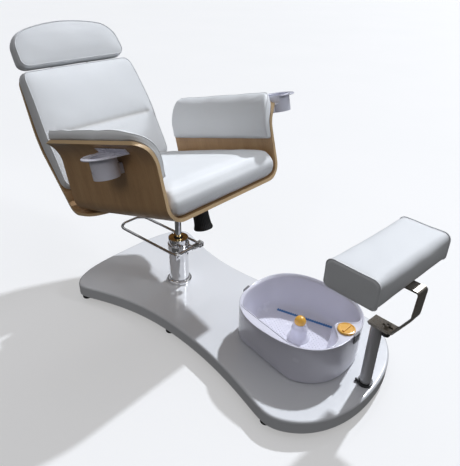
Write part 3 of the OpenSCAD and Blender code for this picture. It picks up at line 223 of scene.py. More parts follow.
def backdrop(name, points, faces, finish):
    """A sheet behind the chair, which only the camera sees: it neither lights the chair nor shows in its gloss."""
    mesh = bpy.data.meshes.new(name)
    mesh.from_pydata(points, [], faces)
    mesh.materials.append(finish.material)
    sheet = bpy.data.objects.new(name, mesh)
    scene.collection.objects.link(sheet)
    sheet.visible_diffuse = sheet.visible_glossy = False
    return sheet


backdrop("floor", [(-40, -40, 0), (40, -40, 0), (40, 40, 0), (-40, 40, 0)], [(0, 1, 2, 3)], floor_paint)

wall_paint = Finish("wall_paint", roughness=1.0, base_color=(0, 0, 0), specular_IOR_level=0.0,
                    emission_color=(0.87, 0.875, 0.885), emission_strength=1.0)
wall_r, wall_low, wall_high, wall_count = 39.5, -1.0, 60.0, 96
wall_q = np.linspace(0, 2 * math.pi, wall_count, endpoint=False)
wall_points = np.concatenate([np.column_stack([wall_r * np.cos(wall_q), wall_r * np.sin(wall_q),
                                               np.full(wall_count, z)]) for z in (wall_low, wall_high)])
here = np.arange(wall_count)
after = (here + 1) % wall_count
wall = backdrop("wall", wall_points.tolist(),
                np.stack([after, here, here + wall_count, after + wall_count], 1).tolist(), wall_paint)
wall.visible_shadow = False

room = bpy.data.worlds.new("room")
room.use_nodes = True
scene.world = room
room_light = room.node_tree.nodes["Background"]
room_way = room.node_tree.nodes.new("ShaderNodeTexCoord")
room_split = room.node_tree.nodes.new("ShaderNodeSeparateXYZ")
room_ramp = room.node_tree.nodes.new("ShaderNodeValToRGB")
for stop, place, colour in zip(room_ramp.color_ramp.elements, (0.46, 0.54),
                               ((0.08, 0.08, 0.08), (0.47, 0.47, 0.485))):
    stop.position, stop.color = place, (*colour, 1)
room.node_tree.links.new(room_way.outputs["Generated"], room_split.inputs[0])
room.node_tree.links.new(room_split.outputs["Z"], room_ramp.inputs[0])
room.node_tree.links.new(room_ramp.outputs[0], room_light.inputs[0])
room_light.inputs[1].default_value = 1.0


# ---------------------------------------------------------------- Platform
# The platform is a waisted board on rubber feet under one moulded cover of gloss white
# glass-fibre. The cover has a soft top edge and a side wall that hangs clear of the floor.


def make(name, points, faces, finishes, body, stands_for=(), uv=None, kinds=None, crease=35.0):
    """Puts a closed mesh on a body: its faces are turned outwards together, edges sharper than crease stay crisp."""
    points = np.asarray(points, float)
    faces = [list(map(int, f)) for f in faces]
    fans = np.array([(f[0], f[i], f[i + 1]) for f in faces for i in range(1, len(f) - 1)])
    a, b, c = (points[fans[:, i]] for i in range(3))
    if (a * np.cross(b, c)).sum() < 0:
        faces = [f[::-1] for f in faces]
        if uv is not None:
            ends = np.cumsum([0] + [len(f) for f in faces])
            uv = np.concatenate([uv[i:j][::-1] for i, j in zip(ends[:-1], ends[1:])])
    mesh = bpy.data.meshes.new(name)
    mesh.from_pydata(points.tolist(), [], faces)
    if uv is not None:
        mesh.uv_layers.new(name="UVMap").data.foreach_set("uv", np.asarray(uv, np.float32).ravel())
    for finish in finishes:
        mesh.materials.append(finish.material)
    if kinds is not None:
        mesh.polygons.foreach_set("material_index", np.asarray(kinds, np.int32))
    mesh.polygons.foreach_set("use_smooth", np.ones(len(faces), bool))
    mesh.update()
    mesh.set_sharp_from_angle(angle=math.radians(crease))
    piece = bpy.data.objects.new(name, mesh)
    scene.collection.objects.link(piece)
    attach(piece, body)
    if stands_for:
        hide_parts(*stands_for)
    return piece


def round_edges(piece, width, angle=35.0):
    """Breaks the edges of a piece that are sharper than angle with a small round."""
    bevel = piece.modifiers.new("broken_edges", "BEVEL")
    bevel.width, bevel.segments = width, 2
    bevel.limit_method, bevel.angle_limit = "ANGLE", math.radians(angle)
    bevel.use_clamp_overlap = True
    bevel.harden_normals = True
    return piece


def dressed(node, finish, width=0.0006, crease=35.0):
    """A merged copy of a solid with broken edges and smooth curved faces, which stands for the solid."""
    source = frame["nodes"][node]
    mesh = source.data.copy()
    work = bmesh.new()
    work.from_mesh(mesh)
    bmesh.ops.remove_doubles(work, verts=work.verts, dist=2e-5)
    bmesh.ops.dissolve_limit(work, angle_limit=math.radians(0.6), verts=work.verts, edges=work.edges)
    for face in work.faces:
        face.smooth = True
    work.to_mesh(mesh)
    work.free()
    for key in ("custom_normal", "sharp_edge", "sharp_face"):
        if key in mesh.attributes:
            mesh.attributes.remove(mesh.attributes[key])
    mesh.set_sharp_from_angle(angle=math.radians(crease))
    mesh.materials.clear()
    mesh.materials.append(finish.material)
    piece = bpy.data.objects.new(node + "_dressed", mesh)
    scene.collection.objects.link(piece)
    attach(piece, source["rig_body"])
    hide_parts(node)
    return round_edges(piece, width, crease) if width else piece


def coat(node, finish):
    """Gives a solid that stays as it is its finish."""
    mesh = frame["nodes"][node].data
    mesh.materials.clear()
    mesh.materials.append(finish.material)


gelcoat = Finish("gelcoat", coat_weight=0.5, coat_roughness=0.06)
gel_place = gelcoat.place()
gel_cloud = gelcoat.noise(gel_place, 2.2, 3)
gel_speck = gelcoat.noise(gel_place, 60, 4, 0.65)
gelcoat.wear(
    colour=gelcoat.mixed(gel_cloud, (0.76, 0.775, 0.80), (0.81, 0.82, 0.845)),
    roughness=gelcoat.spread(gel_speck, 0.12, 0.30),
    height=gel_cloud * 3.0 + gel_speck * 0.15, depth=0.0006)

rear_y, front_y = 0.379, -0.957
deck_z, wall_z = 0.078, 0.025


def half_width(y):
    """Half width of the platform: two parabolas for the waist, capped by a rounded lobe at each end."""
    waist = 0.236 + (y + 0.160) ** 2 / (2 * np.where(y > -0.160, 0.930, 1.550))
    rear = np.clip((y - rear_y + 0.179) / 0.179, 0, 1)
    front = np.clip((front_y + 0.267 - y) / 0.267, 0, 1)
    lobe = 0.345 * np.minimum((1 - rear ** 3.2) ** (1 / 3.2), (1 - front ** 2.2) ** (1 / 2.2))
    return np.maximum(0, np.minimum(waist, lobe) - 0.012 * np.log1p(np.exp(-abs(waist - lobe) / 0.012)))


def set_in(outline, d):
    """Moves a closed outline that runs anticlockwise inwards by d, along its normals."""
    along = np.roll(outline, -1, 0) - np.roll(outline, 1, 0)
    along /= np.linalg.norm(along, axis=1, keepdims=True)
    return outline + np.stack([-along[:, 1], along[:, 0]], 1) * d


def skin_of(rings):
    """Closed skin through rings of equally many points: quads between them and one flat face at each end."""
    rings = np.asarray(rings)
    count, size = rings.shape[:2]
    i, j = np.meshgrid(np.arange(count - 1), np.arange(size), indexing="ij")
    k = (j + 1) % size
    quads = np.stack([i * size + j, i * size + k, (i + 1) * size + k, (i + 1) * size + j], -1).reshape(-1, 4)
    faces = quads.tolist() + [list(range(size))[::-1], list(range((count - 1) * size, count * size))]
    return rings.reshape(-1, 3), faces


turns = np.linspace(0, math.pi, 170)
rows = (rear_y + front_y) / 2 - (rear_y - front_y) / 2 * np.cos(turns)
edge = np.concatenate([np.stack([half_width(rows), rows], 1),
                       np.stack([-half_width(rows), rows], 1)[-2:0:-1]])
arc = np.radians(np.linspace(90, 0, 8))
cover_profile = [(0.004, deck_z - 0.004), (0.004, wall_z + 0.001), (0.003, wall_z), (0.0008, wall_z),
                 (0.0, wall_z + 0.001), (0.0, wall_z + 0.02), (0.0, deck_z - 0.009)]
cover_profile += [(0.009 * (1 - math.cos(q)), deck_z - 0.009 * (1 - math.sin(q))) for q in arc[::-1]]
cover_profile += [(0.012, deck_z), (0.020, deck_z)]
cover_points, cover_faces = skin_of([np.column_stack([set_in(edge, d), np.full(len(edge), z)])
                                     for d, z in cover_profile])
make("platform", cover_points, cover_faces, [gelcoat], "base", ["platform_cover"])

raw_board = Finish("raw_board", roughness=0.75)
board_place = raw_board.place((2, 30, 30))
board_strand = raw_board.noise(board_place, 4, 5)
raw_board.wear(colour=raw_board.mixed(board_strand, (0.38, 0.25, 0.13), (0.56, 0.41, 0.24)),
               height=raw_board.noise(board_place, 20, 4), depth=0.0004)
dressed("base_board", raw_board, 0.0)

rubber = Finish("rubber", roughness=0.8)
rubber_speck = rubber.noise(rubber.place(), 500, 3)
rubber.wear(colour=rubber.mixed(rubber_speck, (0.018, 0.018, 0.019), (0.034, 0.034, 0.036)),
            height=rubber_speck, depth=0.0002)
dressed("rubber_feet", rubber, 0.001)
dressed("centre_foot", rubber, 0.001)


# ---------------------------------------------------------------- Pump
# A chromed steel cylinder is bolted under the board and comes up through the cover inside a
# pressed trim ring. The piston rod rises through a brass gland and turns on a bearing washer.

chrome = Finish("chrome", metallic=1.0)
chrome_smear = chrome.noise(chrome.place((6, 6, 2)), 6, 4, 0.6)
chrome.wear(colour=chrome.mixed(chrome_smear, (0.70, 0.70, 0.715), (0.80, 0.80, 0.81)),
            roughness=chrome.spread(chrome_smear ** 2, 0.04, 0.20),
            height=chrome.noise(chrome.place(), 22, 2), depth=0.00012)

zinc = Finish("zinc", metallic=1.0)
zinc_patch = zinc.noise(zinc.place(), 160, 4, 0.6)
zinc.wear(colour=zinc.mixed(zinc_patch, (0.38, 0.37, 0.35), (0.52, 0.51, 0.49)),
          roughness=zinc.spread(zinc_patch, 0.28, 0.48), height=zinc_patch, depth=0.00008)

brass = Finish("brass", metallic=1.0)
brass_rub = brass.noise(brass.place((1, 1, 8)), 120, 4)
brass.wear(colour=brass.mixed(brass_rub, (0.56, 0.39, 0.15), (0.72, 0.54, 0.26)),
           roughness=brass.spread(brass_rub, 0.14, 0.30), height=brass_rub, depth=0.00005)

dressed("pump_cylinder", chrome, 0.0012, 40)
dressed("trim_ring", chrome, 0.0006, 25)
dressed("piston_rod", chrome, 0.0006)
dressed("top_gland", brass, 0.0005)
dressed("thrust_washer", brass, 0.0005)
dressed("rod_seal", rubber, 0.0006)
for node in ("flange_bolts", "pump_core"):
    dressed(node, zinc, 0.0004)


# ---------------------------------------------------------------- Pedal lever
# One bent chrome rod makes the pedal loop. Both its ends are clamped in blocks on a shaft,
# which turns in a bracket round the pump and is pushed back up by a torsion spring.

dressed("lever_bracket", chrome, 0.0008)
dressed("lever_yoke", chrome, 0.0010)
dressed("lever_loop", chrome, 0.0010)
dressed("lever_spring", zinc, 0.0, 60)
dressed("yoke_bolts", zinc, 0.0004)


# ---------------------------------------------------------------- Tilt mechanism
# A black column socket carries the seat's pressed steel case on a pin. A bolt hangs from the
# case through a coil spring, and a flared knob of ribbed black plastic sets the spring's load.

black_paint = Finish("black_paint", coat_weight=0.15, coat_roughness=0.25)
paint_peel = black_paint.noise(black_paint.place(), 420, 3)
paint_wear = black_paint.noise(black_paint.place(), 34, 4, 0.65)
black_paint.wear(colour=black_paint.mixed(paint_wear ** 3, (0.012, 0.012, 0.013), (0.06, 0.058, 0.055)),
                 roughness=black_paint.spread(paint_wear, 0.34, 0.52), height=paint_peel, depth=0.0001)
for node in ("column_socket", "tilt_case"):
    dressed(node, black_paint, 0.0008)
for node in ("tilt_pin", "tension_bolt"):
    dressed(node, zinc, 0.0005)

lean, seat_z = math.radians(15), 0.508


def seat_to_room(points):
    """From the seat's frame (across, forwards along the seat, square to it) to the room, turned about the x axis."""
    x, s, h = np.moveaxis(np.asarray(points, float), -1, 0)
    return np.stack([x, h * math.sin(lean) - s * math.cos(lean),
                     seat_z + s * math.sin(lean) + h * math.cos(lean)], -1)


# The coil stands on the knob's floor, and the socket's arm presses it down as the seat tilts back. Here it is only a
# dressed copy of the solid with a mesh of its own, at one length.
spring = dressed("tension_spring", zinc, 0.0, 60)
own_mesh(spring)

black_plastic = Finish("black_plastic", roughness=0.42)
plastic_skin = black_plastic.noise(black_plastic.place(), 900, 3)
plastic_rub = black_plastic.noise(black_plastic.place(), 28, 3)
black_plastic.wear(colour=black_plastic.mixed(plastic_rub, (0.008, 0.008, 0.009), (0.020, 0.020, 0.021)),
                   roughness=black_plastic.spread(plastic_rub, 0.34, 0.55), height=plastic_skin, depth=0.0002)


def ribbed(profile, ribs, depth, count=192):
    """Turned knob: pairs of radius and height, and a share of the ribs' depth, which is 0 where it is smooth."""
    angle = np.linspace(0, 2 * math.pi, count, endpoint=False)
    wave = np.clip(np.cos(angle * ribs) * 1.6, -1, 1)
    return np.array([[((r + share * depth * (w - 1) / 2) * math.cos(q), (r + share * depth * (w - 1) / 2)
                       * math.sin(q), z) for q, w in zip(angle, wave)] for r, z, share in profile])


knob_high, knob_long = -0.073, 0.075
knob_rings = ribbed([
    (0.008, 0.0, 0), (0.020, 0.0, 0), (0.0350, 0.0, 0), (0.0375, 0.0010, 0), (0.0388, 0.0035, 0.3),
    (0.0385, 0.0080, 1), (0.0365, 0.0140, 1), (0.0346, 0.0200, 1), (0.0334, 0.0320, 1), (0.0322, 0.0520, 1),
    (0.0316, 0.0700, 1), (0.0312, 0.0735, 0.3), (0.0298, 0.0750, 0), (0.0215, 0.0750, 0), (0.0210, 0.0740, 0),
    (0.0210, 0.0150, 0), (0.0205, 0.0142, 0), (0.0060, 0.0142, 0), (0.0055, 0.0120, 0)], 30, 0.0011)
knob_rings += [0, 0, knob_high - knob_long]
knob_points, knob_faces = skin_of(knob_rings)
knob_points = seat_to_room(np.stack([knob_points[:, 0], 0.116 - knob_points[:, 1], knob_points[:, 2]], 1))
make("tension_knob_ribbed", knob_points, knob_faces, [black_plastic], "knob", ["tension_knob"], crease=32)


# ---------------------------------------------------------------- Bent plywood
# Seat and arms are one sheet of bent plywood, nine layers under an oak-brown veneer with a
# satin lacquer; its cut edges are left pale. The back is a second sheet, screwed below the seat.

veneer = Finish("veneer", coat_weight=0.25, coat_roughness=0.22)
veneer_far = veneer.noise(veneer.place((1.6, 9, 1), "UV"), 2.4, 5, 0.6)
veneer_line = veneer.noise(veneer.place((3.0, 150, 1), "UV"), 2.0, 5, 0.55)
veneer_pore = veneer.noise(veneer.place((30, 1100, 1), "UV"), 1.6, 2)
veneer_tone = veneer.node("ShaderNodeValToRGB", {"stops": [
    (0.25, (0.34, 0.195, 0.090)), (0.50, (0.47, 0.285, 0.138)), (0.75, (0.58, 0.375, 0.195))]},
    veneer_far * 0.55 + veneer_line * 0.45)
veneer.wear(colour=veneer.mixed((veneer_pore > 0.62) * 0.35, veneer_tone, (0.13, 0.065, 0.028)),
            roughness=veneer.spread(veneer_line, 0.34, 0.50),
            height=veneer_line * 0.6 - (veneer_pore > 0.62) * 0.4, depth=0.00012)

ply_edge = Finish("ply_edge", roughness=0.5)
edge_place = ply_edge.place((1, 1, 1), "UV")
edge_split = ply_edge.node("ShaderNodeSeparateXYZ", {}, edge_place, out=1)
edge_wave = ply_edge.noise(ply_edge.place((14, 3, 1), "UV"), 2, 3)
edge_depth = edge_split * 346.0 + edge_wave * 0.35
edge_layer = edge_depth.math("PINGPONG", edge_depth, 0.5) * 2
edge_grain = ply_edge.noise(ply_edge.place((60, 900, 1), "UV"), 3, 4)
ply_edge.wear(colour=ply_edge.mixed(edge_layer > 0.55,
                                    ply_edge.mixed(edge_grain, (0.66, 0.48, 0.27), (0.76, 0.58, 0.36)),
                                    ply_edge.mixed(edge_grain, (0.52, 0.34, 0.17), (0.62, 0.43, 0.23))),
              roughness=ply_edge.spread(edge_grain, 0.40, 0.58), height=edge_layer, depth=0.0001)


def bent_sheet(outer, inner, along, across):
    """Plywood between two faces, each a grid of points of the same size, closed by its cut edges.
    The veneer's UV is the length along and across each face in metres; an edge's is its length and depth."""
    m, n = outer.shape[:2]
    points = np.concatenate([outer.reshape(-1, 3), inner.reshape(-1, 3)])
    i, j = (g.ravel() for g in np.meshgrid(np.arange(m - 1), np.arange(n - 1), indexing="ij"))
    corner = np.stack([i * n + j, (i + 1) * n + j, (i + 1) * n + j + 1, i * n + j + 1], 1)
    flat = np.stack([along, across], -1).reshape(-1, 2)
    loop = np.concatenate([np.arange(m) * n, (m - 1) * n + np.arange(1, n),
                           np.arange(m - 2, -1, -1) * n + n - 1, np.arange(n - 2, 0, -1)])
    after = np.roll(loop, -1)
    run = np.concatenate([[0], np.cumsum(np.linalg.norm(points[after] - points[loop], axis=1))])
    thick = np.full(len(loop), np.linalg.norm(points[loop[0]] - points[loop[0] + m * n]))
    zero = np.zeros(len(loop))
    rim = np.stack([after, loop, loop + m * n, after + m * n], 1)
    rim_uv = np.stack([np.stack([run[1:], zero], 1), np.stack([run[:-1], zero], 1),
                       np.stack([run[:-1], thick], 1), np.stack([run[1:], thick], 1)], 1)
    faces = np.concatenate([corner, corner[:, ::-1] + m * n, rim])
    uv = np.concatenate([flat[corner], flat[corner[:, ::-1]] + 0.37, rim_uv]).reshape(-1, 2)
    return points, faces, uv, np.repeat([0, 0, 1], [len(corner), len(corner), len(rim)])


ply = 0.013
arm_x, bend_r, curl_z, curl_r, curl_q = 0.303, 0.068, 0.195, 0.100, math.radians(62.5)
arm_fall = math.radians(1.8)
shell_front, shell_rear, arm_front_r, arm_rear_r = 0.298, -0.278, 0.044, 0.042
arm_top = curl_z + (curl_r + ply) * math.sin(curl_q)


def arm_cut(s):
    """Height of the arm's edge over the seat at s, in the arm's own slope: level, with a round corner at each end."""
    line = (arm_top + 0.001 - s * math.sin(arm_fall)) / math.cos(arm_fall)
    front, rear = shell_front - arm_front_r, shell_rear + arm_rear_r
    drop = np.where(s > front, arm_front_r - np.sqrt(np.maximum(0, arm_front_r ** 2 - (s - front) ** 2)),
                    np.where(s < rear, arm_rear_r - np.sqrt(np.maximum(0, arm_rear_r ** 2 - (rear - s) ** 2)), 0))
    return (line - drop) * math.cos(arm_fall) + s * math.sin(arm_fall)


def shell_face(s, d):
    """Half section of the shell at each s, d inside its outer face, from the middle to the arm's edge:
    straight, quarter circle, straight, then an arc that curls outwards up to the cut."""
    r = bend_r - d
    quarter = np.radians(np.linspace(-90, 0, 13))
    low = np.concatenate([
        np.stack([np.linspace(0, arm_x - bend_r, 12)[:-1], np.full(11, d - ply)], 1),
        np.stack([arm_x - bend_r + r * np.cos(quarter), bend_r - ply + r * np.sin(quarter)], 1)[:-1],
        np.stack([np.full(10, arm_x - d), np.linspace(bend_r - ply, curl_z, 11)[:-1]], 1)])
    end = np.minimum(curl_q, np.arcsin(np.clip((arm_cut(s) - curl_z) / (curl_r + d), 0, 1)))
    q = np.linspace(0, 1, 18)[None, :] * end[:, None]
    curl = np.stack([arm_x + curl_r - (curl_r + d) * np.cos(q), curl_z + (curl_r + d) * np.sin(q)], -1)
    flat = np.concatenate([np.broadcast_to(low, (len(s), *low.shape)), curl], 1)
    x, z = flat[..., 0], flat[..., 1]
    share = np.clip((z - 0.06) / 0.07, 0, 1)
    share = share * share * (3 - 2 * share)
    h = z + share * (z / math.cos(arm_fall) - s[:, None] * math.tan(arm_fall) - z)
    return np.stack([x, np.broadcast_to(s[:, None], x.shape), h], -1)


def both_sides(half):
    """Mirrors a half section that starts in the middle plane, so that it runs from arm to arm."""
    return np.concatenate([(half * [-1, 1, 1])[:, :0:-1], half], 1)


corner = np.sin(np.radians(np.linspace(0, 90, 16)))
shell_s = np.concatenate([shell_rear + arm_rear_r * (1 - corner[::-1]),
                          np.linspace(shell_rear + arm_rear_r, shell_front - arm_front_r, 26)[1:-1],
                          shell_front - arm_front_r + arm_front_r * corner])
shell_out = both_sides(shell_face(shell_s, 0.0))
shell_in = both_sides(shell_face(shell_s, ply))
middle_row = shell_out[len(shell_s) // 2]
shell_run = np.concatenate([[0], np.cumsum(np.linalg.norm(np.diff(middle_row, axis=0), axis=1))])
sheet = bent_sheet(seat_to_room(shell_out), seat_to_room(shell_in),
                   np.broadcast_to(shell_run[None, :], shell_out.shape[:2]),
                   np.broadcast_to(shell_s[:, None], shell_out.shape[:2]))
seat_ply = make("seat_and_arms", sheet[0], sheet[1], [veneer, ply_edge], "seat", ["seat_shell"],
                uv=sheet[2], kinds=sheet[3])
round_edges(seat_ply, 0.0012, 50)

back_t, back_lean, low_lean = 0.012, math.radians(13.7), math.radians(23.7)
back_high, knee_h, knee_s = 0.560, 0.240, -0.455
tongue_h, tongue_end = -ply - back_t, -0.165


def rounded_line(points, radii, steps):
    """Open line through the points whose inner corners are rounded by arcs of this many steps; returns its points."""
    line = [np.array(points[0], float)]
    for k, r in enumerate(radii):
        a, b, c = (np.array(points[k + i], float) for i in range(3))
        u, v = (b - a) / np.linalg.norm(b - a), (c - b) / np.linalg.norm(c - b)
        bend = math.atan2(u[0] * v[1] - u[1] * v[0], u @ v)
        start = b - u * r * math.tan(abs(bend) / 2)
        centre = start + np.sign(bend) * r * np.array([-u[1], u[0]])
        q = np.linspace(0, bend, steps)
        arm = start - centre
        line.extend(np.stack([centre[0] + arm[0] * np.cos(q) - arm[1] * np.sin(q),
                              centre[1] + arm[0] * np.sin(q) + arm[1] * np.cos(q)], 1))
    line.append(np.array(points[-1], float))
    return np.array(line)


def evenly(line, step):
    """Adds points to an open line, so that none of its stretches is longer than step."""
    parts = [line[:1]]
    for a, b in zip(line[:-1], line[1:]):
        n = max(1, math.ceil(np.linalg.norm(b - a) / step))
        parts.append(a + (b - a) * np.linspace(0, 1, n + 1)[1:, None])
    return np.concatenate(parts)


def left_normals(line):
    """Unit normals to the left of an open line."""
    way = np.gradient(line, axis=0)
    way /= np.linalg.norm(way, axis=1, keepdims=True)
    return np.stack([-way[:, 1], way[:, 0]], 1)


back_top_s = knee_s - (back_high - knee_h) * math.tan(back_lean)
lower_run = (knee_h - tongue_h) * math.tan(low_lean)
back_line = evenly(rounded_line([(back_top_s, back_high), (knee_s, knee_h), (knee_s + lower_run, tongue_h),
                                 (tongue_end, tongue_h)], [0.100, 0.062], 9), 0.014)
top_dip, tongue_dip = 0.055, 0.090
fine_top = back_high - top_dip * (1 - np.cos(np.radians(np.linspace(0, 90, 10))))


def back_width(s, h):
    """Half width of the back sheet: widest up to the knee, narrower at the top, with round corners at both ends."""
    wide = 0.288 - 0.026 * np.clip((h - knee_h - 0.06) / (back_high - knee_h - 0.06), 0, 1) ** 1.15
    up = np.clip((h - back_high + top_dip) / top_dip, 0, 1)
    front = np.clip((s - tongue_end + tongue_dip) / tongue_dip, 0, 1) * (h < 0.05)
    return wide - top_dip * (1 - np.sqrt(1 - up ** 2)) - tongue_dip * (1 - np.sqrt(1 - front ** 2))


by_height = back_line[back_line[:, 1].argsort(kind="stable")]
top_part = np.stack([np.interp(fine_top, by_height[:, 1], by_height[:, 0]), fine_top], 1)
rest_part = back_line[back_line[:, 1] < fine_top[-1] - 0.004]
end_part = tongue_end - tongue_dip * (1 - np.sin(np.radians(np.linspace(0, 90, 12))))
rest_part = rest_part[~((rest_part[:, 0] > end_part[0] - 0.004) & (rest_part[:, 1] < -0.02))]
back_line = np.concatenate([top_part, rest_part, np.stack([end_part, np.full(12, tongue_h)], 1)])
back_normal = left_normals(back_line)
share_across = np.sin(np.linspace(-1, 1, 33) * math.pi / 2) * 0.35 + np.linspace(-1, 1, 33) * 0.65


def back_grid(d):
    """Face of the back sheet at depth d in front of its rear face: the bent line, spread to its half width."""
    line = back_line + back_normal * d
    x = back_width(back_line[:, 0], back_line[:, 1])[:, None] * share_across[None, :]
    return np.stack([x, np.broadcast_to(line[:, :1], x.shape), np.broadcast_to(line[:, 1:], x.shape)], -1)


back_run = np.concatenate([[0], np.cumsum(np.linalg.norm(np.diff(back_line, axis=0), axis=1))])
rear_face, front_face = back_grid(0.0), back_grid(back_t)
sheet = bent_sheet(seat_to_room(rear_face), seat_to_room(front_face),
                   np.broadcast_to(back_run[:, None], rear_face.shape[:2]) + 1.3, rear_face[..., 0])
back_ply = make("back_sheet", sheet[0], sheet[1], [veneer, ply_edge], "seat", ["back_shell"],
                uv=sheet[2], kinds=sheet[3])
round_edges(back_ply, 0.0012, 50)
dressed("seat_screws", zinc, 0.0004)


# ---------------------------------------------------------------- Seat cushion
# A block of firm foam in smooth white leather lies in the shell. Its front edge falls in a
# broad round, and the cover is pleated round the lower front corners.

leather = Finish("leather", sheen_weight=0.05, sheen_roughness=0.5)
hide = leather.place()
hide_cloud = leather.noise(hide, 5.5, 3)
hide_cell = leather.node("ShaderNodeTexVoronoi", {"feature": "DISTANCE_TO_EDGE"}, Vector=hide, Scale=620.0)
hide_fine = leather.noise(hide, 1500, 2)
hide_crease = leather.noise(leather.place((1, 2.4, 1)), 46, 5, 0.62)
# The seam attribute mixes the leather towards a warm grey: painted shade in seams, folds and tucks, with a little
# dirt.
hide_shade_and_dirt = leather.node("ShaderNodeAttribute", {"attribute_name": "seam"}, out=2)
hide_plate = hide_cell * 2.2
leather.wear(
    colour=leather.mixed(hide_shade_and_dirt * 0.55,
                         leather.mixed(hide_cloud, (0.725, 0.745, 0.765), (0.775, 0.79, 0.805)),
                         (0.52, 0.50, 0.47)),
    roughness=leather.spread(hide_crease, 0.50, 0.66),
    height=hide_plate.math("MINIMUM", hide_plate, 0.55) * 0.5 + hide_fine * 0.2 + hide_crease * 0.9,
    depth=0.0004, strength=0.7)

cord_leather = Finish("cord_leather", roughness=0.55)
cord_place = cord_leather.place()
cord_cloud = cord_leather.noise(cord_place, 30, 3)
cord_leather.wear(colour=cord_leather.mixed(cord_cloud, (0.74, 0.755, 0.775), (0.80, 0.81, 0.825)),
                  height=cord_leather.noise(cord_place, 900, 3), depth=0.0002)


def through(rows, steps):
    """Smooth curve through the rows of a table, as a Catmull-Rom spline with this many points to a stretch."""
    rows = np.asarray(rows, float)
    padded = np.concatenate([[2 * rows[0] - rows[1]], rows, [2 * rows[-1] - rows[-2]]])
    t = np.linspace(0, 1, steps, endpoint=False)[None, :, None]
    a, b, c, d = (padded[i:len(rows) - 1 + i][:, None, :] for i in range(4))
    curve = 0.5 * (2 * b + (c - a) * t + (2 * a - 5 * b + 4 * c - d) * t ** 2 + (3 * b - a - 3 * c + d) * t ** 3)
    return np.concatenate([curve.reshape(-1, rows.shape[1]), rows[-1:]])


def block(a_lines, b_lines, rings):
    """Closed shell of a cushion as quads: two flat sides on the lattice lines a and b, from -1 to 1, and rings
    between them. A ring is half length and middle in each direction, the corner radius at +b and at -b, and depth.
    Each lattice point lies on the rounded rectangle of its ring, drawn in by its distance from the middle."""
    na, nb, top = len(a_lines), len(b_lines), len(rings) - 1
    i, j = (g.ravel() for g in np.meshgrid(np.arange(na), np.arange(nb), indexing="ij"))
    loop_i = np.concatenate([np.arange(na - 1), np.full(nb - 1, na - 1),
                             np.arange(na - 1, 0, -1), np.zeros(nb - 1, int)])
    loop_j = np.concatenate([np.zeros(na - 1, int), np.arange(nb - 1),
                             np.full(na - 1, nb - 1), np.arange(nb - 1, 0, -1)])
    size, cap = len(loop_i), na * nb
    level = np.concatenate([np.zeros(cap, int), np.repeat(np.arange(1, top), size), np.full(cap, top)])
    pi = np.concatenate([i, np.tile(loop_i, top - 1), i])
    pj = np.concatenate([j, np.tile(loop_j, top - 1), j])
    flat = np.stack([a_lines[pi], b_lines[pj]], 1)
    k = np.abs(flat).max(1)
    way = flat / np.maximum(k, 1e-9)[:, None]
    ring = np.asarray(rings)[level]
    half, mid, depth = ring[:, 0:2], ring[:, 2:4], ring[:, 6]
    r = np.where(way[:, 1] > 0, ring[:, 4], ring[:, 5])[:, None]
    reach = way * half
    inner = np.clip(reach, -(half - r), half - r)
    d = reach - inner
    on_edge = inner + r * d / np.maximum(np.linalg.norm(d, axis=1, keepdims=True), 1e-9)
    points = np.column_stack([mid + k[:, None] * on_edge, depth])
    rows = np.empty((top + 1, size), int)
    rows[0] = loop_i * nb + loop_j
    rows[1:top] = cap + np.arange((top - 1) * size).reshape(top - 1, size)
    rows[top] = cap + (top - 1) * size + loop_i * nb + loop_j
    nxt = np.roll(rows, -1, 1)
    wall = np.stack([rows[:-1], nxt[:-1], nxt[1:], rows[1:]], -1).reshape(-1, 4)
    ci, cj = (g.ravel() for g in np.meshgrid(np.arange(na - 1), np.arange(nb - 1), indexing="ij"))
    cell = np.stack([ci * nb + cj, (ci + 1) * nb + cj, (ci + 1) * nb + cj + 1, ci * nb + cj + 1], 1)
    faces = np.concatenate([cell[:, ::-1], wall, cell + cap + (top - 1) * size])
    return points, faces, dict(level=level, k=k, a=flat[:, 0], b=flat[:, 1], rows=rows, top=level == top)


def crowned(at, power):
    """Crown of a cushion's top from 1 in the middle to 0 at its edge: one less a power of the place, each way."""
    return np.where(at["top"], (1 - np.abs(at["a"]) ** power) * (1 - np.abs(at["b"]) ** power), 0)


def lines(length, corner_r, step):
    """Lattice lines from -1 to 1 over this half length: close together in the corners, a step apart between them."""
    edge_part = np.linspace(0, corner_r, 5)[:-1]
    middle = np.linspace(corner_r, 2 * length - corner_r, max(3, round((2 * length - 2 * corner_r) / step)))
    return np.concatenate([edge_part, middle, 2 * length - edge_part[::-1]]) / length - 1


def ripple(points, size, seed, count=28):
    """Even, soft unrest between about -1 and 1: the sum of plane waves in seeded directions, about size long."""
    rng = np.random.default_rng(seed)
    way = rng.normal(size=(count, 3))
    way *= (2 * math.pi / size) * rng.uniform(0.6, 1.5, (count, 1)) / np.linalg.norm(way, axis=1, keepdims=True)
    return np.cos(points @ way.T + rng.uniform(0, 2 * math.pi, count)).sum(1) * math.sqrt(2 / count) / 1.6


def normals_of(points, faces):
    """Unit normals at the points: the sum of the cross products of the diagonals of the quads round each."""
    n = np.cross(points[faces[:, 2]] - points[faces[:, 0]], points[faces[:, 3]] - points[faces[:, 1]])
    total = np.zeros_like(points)
    for c in range(4):
        np.add.at(total, faces[:, c], n)
    return total / np.maximum(np.linalg.norm(total, axis=1, keepdims=True), 1e-12)


def smoothed(points, faces, free, rounds):
    """Evens out the free points by moving each halfway to the mean of its neighbours, a few rounds long."""
    ends = np.concatenate([faces[:, [0, 1]], faces[:, [1, 2]], faces[:, [2, 3]], faces[:, [3, 0]]])
    ends = np.concatenate([ends, ends[:, ::-1]])
    count = np.maximum(np.bincount(ends[:, 0], minlength=len(points)), 1)[:, None]
    for _ in range(rounds):
        total = np.stack([np.bincount(ends[:, 0], points[ends[:, 1], c], len(points)) for c in range(3)], 1)
        points = np.where(free[:, None], points * 0.5 + total / count * 0.5, points)
    return points


